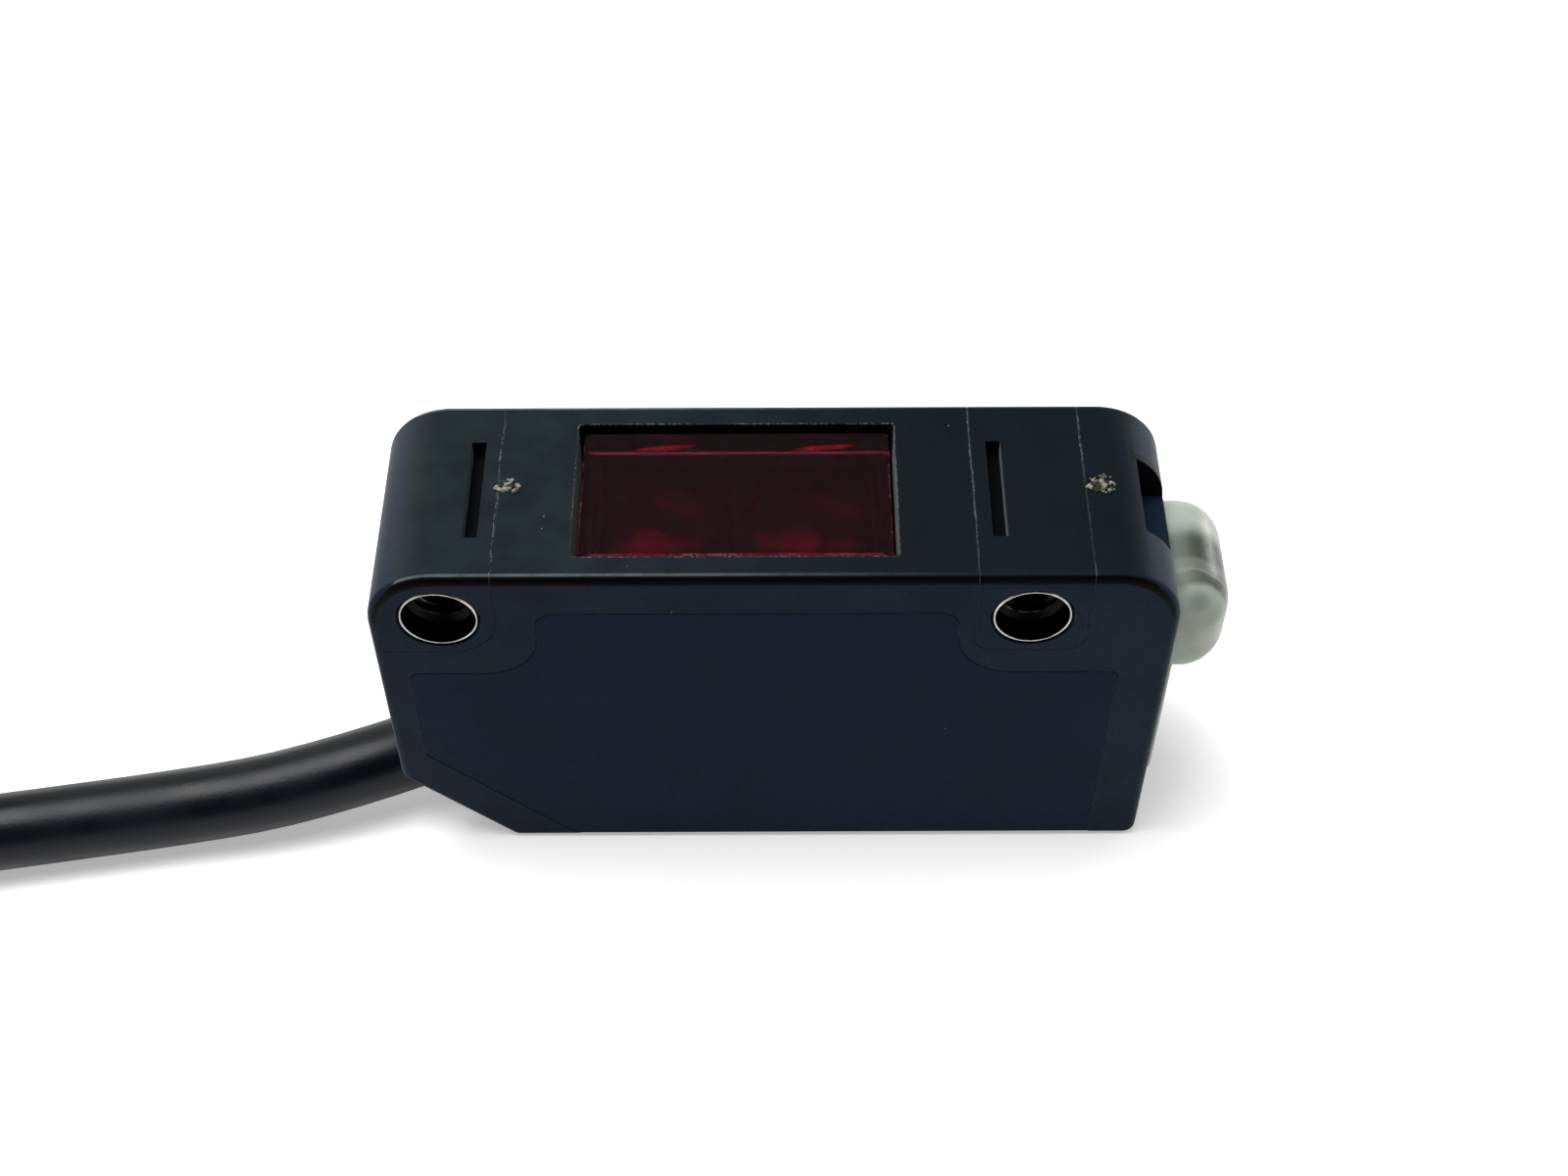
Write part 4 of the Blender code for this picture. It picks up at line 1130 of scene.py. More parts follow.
@dataclass
class Dresser:
    """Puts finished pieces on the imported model's bodies."""

    finishes: dict[str, bpy.types.Material] = field(default_factory=dict)

    def material(self, finish: object) -> bpy.types.Material:
        """A finish's material, made once.

        Args:
            finish: The finish.

        Returns:
            Its material.
        """
        if finish.name not in self.finishes:
            self.finishes[finish.name] = finish.make()
        return self.finishes[finish.name]

    def put(
        self,
        piece: bpy.types.Object,
        finish: object,
        slot: Slot,
        replaces: Sequence[str] = (),
        body: str = "sensor",
    ) -> bpy.types.Object:
        """Gives a piece its finish and its body.

        Args:
            piece: The finished object.
            finish: Its finish.
            slot: Not used.
            replaces: The solids that it stands for.
            body: The body that it moves with.

        Returns:
            The piece.
        """
        piece.data.materials.clear()
        piece.data.materials.append(self.material(finish))
        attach(piece, body)
        if replaces:
            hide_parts(*replaces)
        LOG.info("%s stands for %s", piece.name, ", ".join(replaces) or "no solid")
        return piece

    def repaint(self, node: bpy.types.Object, finish: object) -> None:
        """Gives a solid that stays in view a better finish.

        Args:
            node: The solid's object.
            finish: The finish.
        """
        node.data.materials.clear()
        node.data.materials.append(self.material(finish))
        LOG.info("%s keeps its solid", node.name)


@dataclass(frozen=True)
class BodySizes:
    """Sizes and places of the moulded body."""

    length: float = 0.0349
    width: float = 0.0102
    depth: float = 0.01955
    end_radius: float = 0.0031
    edge_radius: float = 0.00042
    edge_steps: int = 5
    chamfer_along: float = 0.00487
    chamfer_up: float = 0.00495
    foot_radius: float = 0.0006
    far_wall: float = 0.0011
    back_wall: float = 0.0012
    hairline: float = 0.00003
    over: float = 0.001
    insert_pitch: float = 0.0254
    insert_from_end: float = 0.0031
    insert_from_face: float = 0.00265

    @property
    def left(self) -> float:
        """The end that the lead leaves."""
        return -self.length / 2

    @property
    def right(self) -> float:
        """The end with the indicator."""
        return self.length / 2

    @property
    def near(self) -> float:
        """The cover's side."""
        return -self.width / 2

    @property
    def far(self) -> float:
        """The plain side."""
        return self.width / 2

    @property
    def insert_left(self) -> float:
        """The left sleeve's place along the body."""
        return self.left + self.insert_from_end

    @property
    def insert_right(self) -> float:
        """The right sleeve's place along the body."""
        return self.insert_left + self.insert_pitch

    @property
    def insert_height(self) -> float:
        """The sleeves' height."""
        return self.depth - self.insert_from_face

    @property
    def optics_middle(self) -> float:
        """The window's middle along the body."""
        return (self.insert_left + self.insert_right) / 2

    def outline(self) -> list[Corner]:
        """The body seen from the cover's side, with the slanted corner at the lead's end.

        Returns:
            Its corners.
        """
        return [
            Corner(self.left + self.chamfer_along, 0, self.foot_radius),
            Corner(self.right, 0, self.foot_radius),
            Corner(self.right, self.depth, self.end_radius),
            Corner(self.left, self.depth, self.end_radius),
            Corner(self.left, self.chamfer_up, self.foot_radius),
        ]

    def blank(self) -> Shape:
        """The whole outer form, with its long edges rounded.

        Returns:
            The form.
        """
        shape = Shape.prism(self.outline(), Axis.Y, self.near, self.far)
        rims = shape.rims(Axis.Y, self.near) + shape.rims(Axis.Y, self.far)
        return shape.soften(rims, self.edge_radius, self.edge_steps)


@dataclass
class Housing:
    """The moulded tub, its flush side cover and the two corner blocks that carry the sleeves."""

    body: BodySizes
    dresser: Dresser
    case: Moulding
    cover: Moulding
    carrier_beside: float = 0.00242
    carrier_below: float = 0.0022
    left_radius: float = 0.0021
    right_radius: float = 0.0009
    hole_radius: float = 0.00182
    slot_from_insert: float = 0.00141
    slot_width: float = 0.00065
    slot_length: float = 0.0055
    slot_depth: float = 0.00075
    cover_thickness: float = 0.0012
    cover_ledge: float = 0.0008
    cover_from_left: float = 0.0014
    cover_from_right: float = 0.0023
    cover_from_face: float = 0.0023
    cover_from_chamfer: float = 0.00235
    cover_bottom: float = 0.0003
    cover_below_insert: float = 0.0038
    cover_beside_left: float = 0.0041
    cover_beside_right: float = 0.0031
    cover_sweep: float = 0.0025
    cover_shoulder: float = 0.0009
    cover_corner: float = 0.0004
    cover_edge: float = 0.00005
    pocket_length: float = 0.01395
    pocket_width: float = 0.00766
    pocket_corner: float = 0.00025
    pocket_ledge: float = 0.00235
    aperture_inset: float = 0.00095
    notch_length: float = 0.0015
    notch_width: float = 0.0042
    notch_depth: float = 0.00295
    stem_hole: tuple[Point, Point] = ((0.0133, -0.0026, 0.0087), (0.0185, 0.0026, 0.0121))
    wells: tuple[float, ...] = (0.0110, 0.0052)
    well_radius: float = 0.0022
    bushing_hole: float = 0.00215

    def build(self, bushing: Bushing) -> None:
        """Makes every piece of the case.

        Args:
            bushing: The lead's bushing, which the tub has a hole for.
        """
        self.make_tub(bushing)
        self.make_cover()
        b = self.body
        slot = b.insert_left + self.slot_from_insert
        self.make_carrier("left", self.left_block(), b.insert_left, slot)
        slot = b.insert_right - self.slot_from_insert
        self.make_carrier("right", self.right_block(), b.insert_right, slot)

    def left_block(self) -> list[Corner]:
        """The left corner block, taken past the body on its outer sides.

        Returns:
            Its corners.
        """
        b = self.body
        right = b.insert_left + self.carrier_beside
        foot = b.insert_height - self.carrier_below
        return [
            Corner(b.left - b.over, foot),
            Corner(right, foot, self.left_radius),
            Corner(right, b.depth + b.over),
            Corner(b.left - b.over, b.depth + b.over),
        ]

    def right_block(self) -> list[Corner]:
        """The right sleeve's block, taken past the lens face.

        Returns:
            Its corners.
        """
        b = self.body
        left = b.insert_right - self.carrier_beside
        right = b.insert_right + self.carrier_beside
        foot = b.insert_height - self.carrier_below
        return [
            Corner(left, foot, self.right_radius),
            Corner(right, foot, self.right_radius),
            Corner(right, b.depth + b.over),
            Corner(left, b.depth + b.over),
        ]

    def cover_outline(self, bottom: float) -> list[Corner]:
        """The cover's outline, which bends round both sleeves and follows the slanted corner.

        Args:
            bottom: The height of its lower edge.

        Returns:
            The corners, anticlockwise.
        """
        b = self.body
        slant = Vector((b.chamfer_up, b.chamfer_along)).normalized()
        left = b.left + self.cover_from_left
        right = b.right - self.cover_from_right
        top = b.depth - self.cover_from_face
        shoulder = b.insert_height - self.cover_below_insert
        sweep_left = b.insert_left + self.cover_beside_left
        sweep_right = b.insert_right - self.cover_beside_right
        slant_top = b.chamfer_up + (self.cover_from_chamfer - slant.x * (left - b.left)) / slant.y
        slant_foot = b.left + (self.cover_from_chamfer - slant.y * (bottom - b.chamfer_up)) / slant.x
        return [
            Corner(slant_foot, bottom),
            Corner(right, bottom),
            Corner(right, shoulder, self.cover_corner),
            Corner(sweep_right, shoulder, self.cover_sweep),
            Corner(sweep_right, top, self.cover_shoulder),
            Corner(sweep_left, top, self.cover_shoulder),
            Corner(sweep_left, shoulder, self.cover_sweep),
            Corner(left, shoulder, self.cover_corner),
            Corner(left, slant_top, self.cover_corner),
        ]

    def make_tub(self, bushing: Bushing) -> None:
        """The tub, with pockets for everything that seats in it.

        Args:
            bushing: The lead's bushing.
        """
        b = self.body
        near, far = b.near - b.over, b.far + b.over
        inside = b.near + self.cover_thickness
        hollow = inset(self.cover_outline(b.back_wall - self.cover_ledge), self.cover_ledge)
        size = (self.pocket_length, self.pocket_width)
        pocket = rectangle((b.optics_middle, 0), size, self.pocket_corner)
        cavity_top = b.depth - self.cover_from_face - self.cover_ledge
        ledge = b.depth - self.pocket_ledge
        cuts = [
            Shape.prism(inset(self.left_block(), -b.hairline), Axis.Y, near, far),
            Shape.prism(inset(self.right_block(), -b.hairline), Axis.Y, near, far),
            Shape.prism(inset(self.cover_outline(-b.over), -b.hairline), Axis.Y, near, inside + b.hairline),
            Shape.prism(hollow, Axis.Y, near, b.far - b.far_wall),
            Shape.prism(pocket, Axis.Z, ledge, b.depth + b.over),
            Shape.prism(inset(pocket, self.aperture_inset), Axis.Z, cavity_top - b.over, ledge + b.over),
            self.notch(),
            Shape.block(*self.stem_hole),
            *[self.well(x) for x in self.wells],
            bushing.bore(self.bushing_hole),
        ]
        tub = carve(b.blank().as_object("housing_tub"), Carve.CUT, cuts)
        even_normals(tub)
        self.dresser.put(tub, self.case, Slot.CASE, ["housing"])

    def notch(self) -> Shape:
        """The square notch in the corner over the indicator.

        Returns:
            The shape to cut out.
        """
        b = self.body
        low = (b.right - self.notch_length, -self.notch_width / 2, b.depth - self.notch_depth)
        return Shape.block(low, (b.right + b.over, self.notch_width / 2, b.depth + b.over))

    def well(self, x: float) -> Shape:
        """A round well through the back wall."""
        b = self.body
        return Shape.bar(Vector((x, 0, -b.over)), Vector((x, 0, b.back_wall + b.over)), self.well_radius)

    def make_cover(self) -> None:
        """The flush plate that closes the tub, with its outer edge broken."""
        b = self.body
        outline = self.cover_outline(self.cover_bottom)
        shape = Shape.prism(outline, Axis.Y, b.near, b.near + self.cover_thickness)
        shape.soften(shape.rims(Axis.Y, b.near), self.cover_edge, 2)
        plate = shape.as_object("cover_plate")
        even_normals(plate)
        self.dresser.put(plate, self.cover, Slot.COVER, ["side_cover"])

    def make_carrier(self, side: str, corners: list[Corner], insert_x: float, slot_x: float) -> None:
        """A corner block cut from the body's outer form, with its screw hole and slot.

        Args:
            side: Left or right.
            corners: The block's outline.
            insert_x: The sleeve's place.
            slot_x: The slot's place.
        """
        b = self.body
        near, far = b.near - b.over, b.far + b.over
        block = b.blank().as_object(f"corner_block_{side}")
        carve(block, Carve.KEEP, [Shape.prism(corners, Axis.Y, near, far)])
        start, end = Vector((insert_x, near, b.insert_height)), Vector((insert_x, far, b.insert_height))
        half, reach = self.slot_width / 2, self.slot_length / 2
        low = (slot_x - half, -reach, b.depth - self.slot_depth)
        slot = Shape.block(low, (slot_x + half, reach, b.depth + b.over))
        carve(block, Carve.CUT, [Shape.bar(start, end, self.hole_radius), slot])
        even_normals(block)
        self.dresser.put(block, self.case, Slot.CASE, [f"insert_carrier_{side}"])


@dataclass(frozen=True)
class Heap:
    """A heap of crumbs: its place on the lens face, half of its size each way, and how many there are."""

    name: str
    area: Rectangle
    count: int
    largest: float


@dataclass
class Crumbs:
    """The torn stubs of the moulding's two gates."""

    body: BodySizes
    dresser: Dresser
    torn: TornPlastic
    heaps: tuple[Heap, ...] = (
        Heap("gate_scar_left", Rectangle((-0.01150, 0.00015), (0.00062, 0.00048)), 46, 0.00013),
        Heap("gate_scar_right", Rectangle((0.01418, 0.00015), (0.00070, 0.00062)), 60, 0.00014),
    )
    smallest: float = 0.00004
    flatness: float = 0.6
    lift: float = 0.2
    raggedness: float = 0.5
    rags_per_metre: float = 9000.0
    seed: int = 11

    def build(self) -> None:
        """Makes every heap."""
        for heap in self.heaps:
            self.make(heap)

    def make(self, heap: Heap) -> None:
        """A heap of ragged crumbs that lie on the lens face.

        Args:
            heap: Its place and size.
        """
        noise.seed_set(self.seed)
        shape = Shape()
        for _ in range(heap.count):
            spread = noise.random_unit_vector() * math.sqrt(noise.random())
            size = self.smallest + (heap.largest - self.smallest) * noise.random() ** 2
            x = heap.area.middle[0] + heap.area.half[0] * spread.x
            y = heap.area.middle[1] + heap.area.half[1] * spread.y
            flat = Matrix.Diagonal((1.0, 1.0, self.flatness, 1.0))
            at = Matrix.Translation((x, y, self.body.depth + size * self.lift))
            made = bmesh.ops.create_icosphere(shape.bm, subdivisions=2, radius=size, matrix=at @ flat)
            for vert in made["verts"]:
                vert.co += noise.noise_vector(vert.co * self.rags_per_metre) * size * self.raggedness
        piece = shape.tidy().as_object(heap.name)
        self.dresser.put(piece, self.torn, Slot.CASE)


@dataclass
class Sleeves:
    """The two threaded sleeves that run through the thickness."""

    body: BodySizes
    dresser: Dresser
    bright: TurnedMetal
    outer: float = 0.00170
    mouth: float = 0.00158
    rim: float = 0.00004
    counterbore: float = 0.0011
    minor: float = 0.00125
    major: float = 0.00148
    pitch: float = 0.0005
    set_back: float = 0.00004

    def build(self) -> None:
        """Makes both sleeves."""
        self.make("left", self.body.insert_left)
        self.make("right", self.body.insert_right)

    def make(self, side: str, x: float) -> None:
        """A sleeve with a bright rim at each mouth and a thread deeper in.

        Args:
            side: Left or right.
            x: Its place along the body.
        """
        half = self.body.width / 2 - self.set_back
        shape = Shape.turned(self.profile(half), True, 80)
        shape.move(Matrix.Rotation(math.radians(90), 4, "X"))
        shape.move(Matrix.Translation((x, 0, self.body.insert_height)))
        piece = shape.as_object(f"threaded_sleeve_{side}")
        self.dresser.put(piece, self.bright, Slot.SLEEVE, [f"insert_sleeve_{side}"])

    def profile(self, half: float) -> list[tuple[float, float]]:
        """The sleeve's closed section, with a tooth for each turn of the thread.

        Args:
            half: Half of the sleeve's length.

        Returns:
            Radius and height of each point.
        """
        start = half - self.counterbore
        count = math.floor(2 * start / self.pitch)
        top = count * self.pitch / 2
        teeth = []
        for tooth in range(count):
            height = top - tooth * self.pitch
            teeth += [(self.minor, height), (self.minor, height - self.pitch * 0.2)]
            teeth += [(self.major, height - self.pitch * 0.55), (self.major, height - self.pitch * 0.65)]
        teeth.append((self.minor, -top))
        return [
            (self.outer, -half + self.rim),
            (self.outer, half - self.rim),
            (self.outer - self.rim, half),
            (self.mouth + self.rim, half),
            (self.mouth, half - self.rim),
            (self.mouth, start),
            *teeth,
            (self.mouth, -start),
            (self.mouth, -half + self.rim),
            (self.mouth + self.rim, -half),
            (self.outer - self.rim, -half),
        ]


@dataclass
class Optics:
    """The red window and the two lenses under it."""

    body: BodySizes
    dresser: Dresser
    pane: ClearPlastic
    lens: ClearPlastic
    length: float = 0.01348
    width: float = 0.00712
    thickness: float = 0.0012
    set_back: float = 0.00024
    broken: float = 0.00010
    corner: float = 0.0002
    lens_spacing: float = 0.0067
    lens_radius: float = 0.00305
    lens_foot: float = 0.01505
    lens_rim: float = 0.00095
    lens_crown: float = 0.0011
    flange_top: float = 0.01642
    flange_size: tuple[float, float] = (0.00655, 0.00640)
    flange_thickness: float = 0.00012
    flange_corner: float = 0.0003
    crown_steps: int = 14

    def build(self) -> None:
        """Makes the window and both lenses."""
        self.make_pane()
        middle = self.body.optics_middle
        self.make_lens("emitter", middle - self.lens_spacing / 2)
        self.make_lens("receiver", middle + self.lens_spacing / 2)

    def make_pane(self) -> None:
        """The window: a flat plate with its upper edge broken."""
        top = self.body.depth - self.set_back
        corners = rectangle((self.body.optics_middle, 0), (self.length, self.width), self.corner)
        shape = Shape.prism(corners, Axis.Z, top - self.thickness, top)
        shape.soften(shape.rims(Axis.Z, top), self.broken, 1)
        pane = shape.as_object("window_pane")
        even_normals(pane)
        self.dresser.put(pane, self.pane, Slot.WINDOW, ["front_window"])

    def make_lens(self, side: str, x: float) -> None:
        """A domed lens with a thin square flange round it.

        Args:
            side: Emitter or receiver.
            x: Its place along the body.
        """
        rim_top = self.lens_foot + self.lens_rim
        sphere = (self.lens_radius**2 + self.lens_crown**2) / (2 * self.lens_crown)
        crown = []
        for step in range(self.crown_steps + 1):
            radius = self.lens_radius * step / self.crown_steps
            drop = sphere - math.sqrt(sphere**2 - radius**2)
            crown.append((radius, rim_top + self.lens_crown - drop))
        shape = Shape.turned([*crown, (self.lens_radius, self.lens_foot), (0, self.lens_foot)], False)
        shape.move(Matrix.Translation((x, 0, 0)))
        piece = shape.as_object(f"{side}_lens_dome")
        corners = rectangle((x, 0), self.flange_size, self.flange_corner)
        flange = Shape.prism(corners, Axis.Z, self.flange_top - self.flange_thickness, self.flange_top)
        carve(piece, Carve.JOIN, [flange])
        self.dresser.put(piece, self.lens, Slot.LENS, [f"{side}_lens"])


@dataclass
class Indicator:
    """The frosted cap on the end face: dome, flange and stem."""

    body: BodySizes
    dresser: Dresser
    frosted: FrostedPlastic
    reach: float = 0.00285
    width: float = 0.0072
    height: float = 0.0058
    from_face: float = 0.00358
    corner: float = 0.00215
    edge: float = 0.0020
    edge_steps: int = 10
    flange_width: float = 0.0090
    flange_foot: float = 0.0033
    flange_drop: float = 0.00107
    flange_proud: float = 0.0002
    flange_edge: float = 0.00008
    gap: float = 0.00005
    stem: tuple[Point, Point] = ((0.01455, -0.0024, 0.0089), (0.0177, 0.0024, 0.0119))

    def build(self) -> None:
        """Makes the cap as one piece."""
        b = self.body
        base, tip = b.right + self.gap, b.right + self.reach
        top = b.depth - self.from_face
        outline = rectangle((0, top - self.height / 2), (self.width, self.height), self.corner)
        dome = Shape.prism(outline, Axis.X, base, tip)
        dome.soften(dome.rims(Axis.X, tip), self.edge, self.edge_steps)
        flange_top = top - self.flange_drop
        face = b.right + self.flange_proud
        middle = (0, (self.flange_foot + flange_top) / 2)
        size = (self.flange_width, flange_top - self.flange_foot)
        flange = Shape.prism(rectangle(middle, size, self.corner), Axis.X, base, face)
        flange.soften(flange.rims(Axis.X, face), self.flange_edge, 3)
        cap = carve(dome.as_object("indicator_dome"), Carve.JOIN, [flange, Shape.block(*self.stem)])
        even_normals(cap)
        self.dresser.put(cap, self.frosted, Slot.CAP, ["indicator_cap"])


@dataclass
class Control:
    """A slotted screwdriver control in its well in the back face."""

    kind: str
    x: float
    dresser: Dresser
    rotor: SmallPart
    rubber: SmallPart
    radius: float = 0.0015
    recess: float = 0.0004
    head: float = 0.0009
    stem_radius: float = 0.0008
    stem: float = 0.0027
    slot_width: float = 0.0005
    slot_depth: float = 0.0004
    pointer_out: float = 0.00093
    pointer_radius: float = 0.0004
    pointer_depth: float = 0.00024
    broken: float = 0.0001
    seal_outer: float = 0.00214
    seal_inner: float = 0.00158
    seal_height: float = 0.0006

    def build(self) -> None:
        """Makes the rotor and the seal round it."""
        top = self.recess + self.head
        end = top + self.stem
        c = self.broken
        profile = [
            (0, end),
            (self.stem_radius, end),
            (self.stem_radius, top),
            (self.radius - c, top),
            (self.radius, top - c),
            (self.radius, self.recess + c),
            (self.radius - c, self.recess),
            (0, self.recess),
        ]
        shape = Shape.turned(profile, False, 64).move(Matrix.Translation((self.x, 0, 0)))
        rotor = shape.as_object(f"{self.kind}_dial")
        half = self.slot_width / 2
        low = (self.x - self.radius, -half, 0)
        slot = Shape.block(low, (self.x + self.radius, half, self.recess + self.slot_depth))
        foot = Vector((self.x + self.pointer_out, 0, 0))
        tip = foot + Vector((0, 0, self.recess + self.pointer_depth))
        pointer = Shape.bar(foot, tip, self.pointer_radius, sides=24)
        carve(rotor, Carve.CUT, [slot, pointer])
        self.dresser.put(rotor, self.rotor, Slot.ROTOR, [f"{self.kind}_rotor"], self.kind)
        mouth = top - self.seal_height
        ring = [
            (self.seal_outer, mouth),
            (self.seal_outer, top),
            (self.seal_inner, top),
            (self.seal_inner, mouth + c),
            (self.seal_inner + c, mouth),
        ]
        seal = Shape.turned(ring, True, 64).move(Matrix.Translation((self.x, 0, 0)))
        gasket = seal.as_object(f"{self.kind}_gasket")
        self.dresser.put(gasket, self.rubber, Slot.RUBBER, [f"{self.kind}_seal"])


@dataclass
class Bushing:
    """The bushing moulded on the end of the lead, in the slanted corner, and the cores behind it."""

    body: BodySizes
    dresser: Dresser
    rubber: SmallPart
    cores: dict[str, tuple[SmallPart, Slot]]
    radius: float = 0.0021
    out: float = 0.0032
    inward: float = 0.0042
    from_end: float = 0.0038
    across: float = -0.0002
    height: float = 0.0026
    yaw: float = math.radians(22)
    core_radius: float = 0.0004
    core_offset: float = 0.0005
    core_aside: float = 0.0008
    pads_from_end: tuple[float, float] = (0.01005, 0.01145)
    pads_above: tuple[float, float] = (-0.0002, 0.0010)
    pad_y: float = 0.0027
    gap: float = 0.0003
    rib_count: int = 3
    rib_start: float = 0.0004
    rib_pitch: float = 0.0009
    rib_depth: float = 0.00022
    rib_marks: tuple[float, float, float] = (0.0002, 0.0005, 0.0007)
    mouth_length: float = 0.00035
    mouth_depth: float = 0.0002

    @property
    def point(self) -> Vector:
        """The point on the slanted corner that the axis runs through."""
        return Vector((self.body.left + self.from_end, self.across, self.height))

    @property
    def way(self) -> Vector:
        """The direction in which the lead leaves."""
        return Vector((-math.cos(self.yaw), -math.sin(self.yaw), 0))

    def bore(self, radius: float) -> Shape:
        """A hole for the bushing."""
        start = self.point - self.way * (self.inward + self.gap)
        return Shape.bar(start, self.point + self.way * (self.out + self.body.over), radius)

    def build(self) -> None:
        """Makes the bushing with its ribs, and the cores."""
        rib, groove = self.radius, self.radius - self.rib_depth
        profile = [(0, -self.inward), (rib, -self.inward), (rib, self.rib_start)]
        for count in range(self.rib_count):
            start = self.rib_start + count * self.rib_pitch
            down, flat, up = (start + mark for mark in self.rib_marks)
            profile += [(groove, down), (groove, flat), (rib, up)]
        profile += [(rib, self.out - self.mouth_length), (rib - self.mouth_depth, self.out), (0, self.out)]
        turn = self.way.to_track_quat("Z", "Y").to_matrix().to_4x4()
        shape = Shape.turned(profile, False, 64).move(Matrix.Translation(self.point) @ turn)
        self.dresser.put(shape.as_object("lead_bushing"), self.rubber, Slot.RUBBER, ["cable_bushing"])
        places = (("brown", 0, 0), ("blue", 1, 0), ("black", 0, 1), ("white", 1, 1))
        for colour, column, row in places:
            self.make_core(colour, column, row)

    def make_core(self, colour: str, column: int, row: int) -> None:
        """One insulated core from the bushing to its pad on the board.

        Args:
            colour: The core's colour.
            column: Its column among the pads.
            row: Its row among the pads.
        """
        aside = Vector((-self.way.y, self.way.x, 0))
        start = self.point - self.way * (self.inward + self.gap) + aside * self.core_aside
        begin = start + aside * self.core_offset * (2 * column - 1)
        begin += Vector((0, 0, self.core_offset * (2 * row - 1)))
        pad_x = self.body.left + self.pads_from_end[column]
        pad = Vector((pad_x, self.pad_y, self.height + self.pads_above[row]))
        before = pad - Vector((0, (pad.y - begin.y) / 2, 0))
        route = smooth_route([begin, begin - self.way * 2 * self.core_radius, before, pad], 0.0003)
        finish, slot = self.cores[colour]
        core = tube(f"core_{colour}", route, self.core_radius, 3)
        self.dresser.put(core, finish, slot, [f"wire_{colour}"])


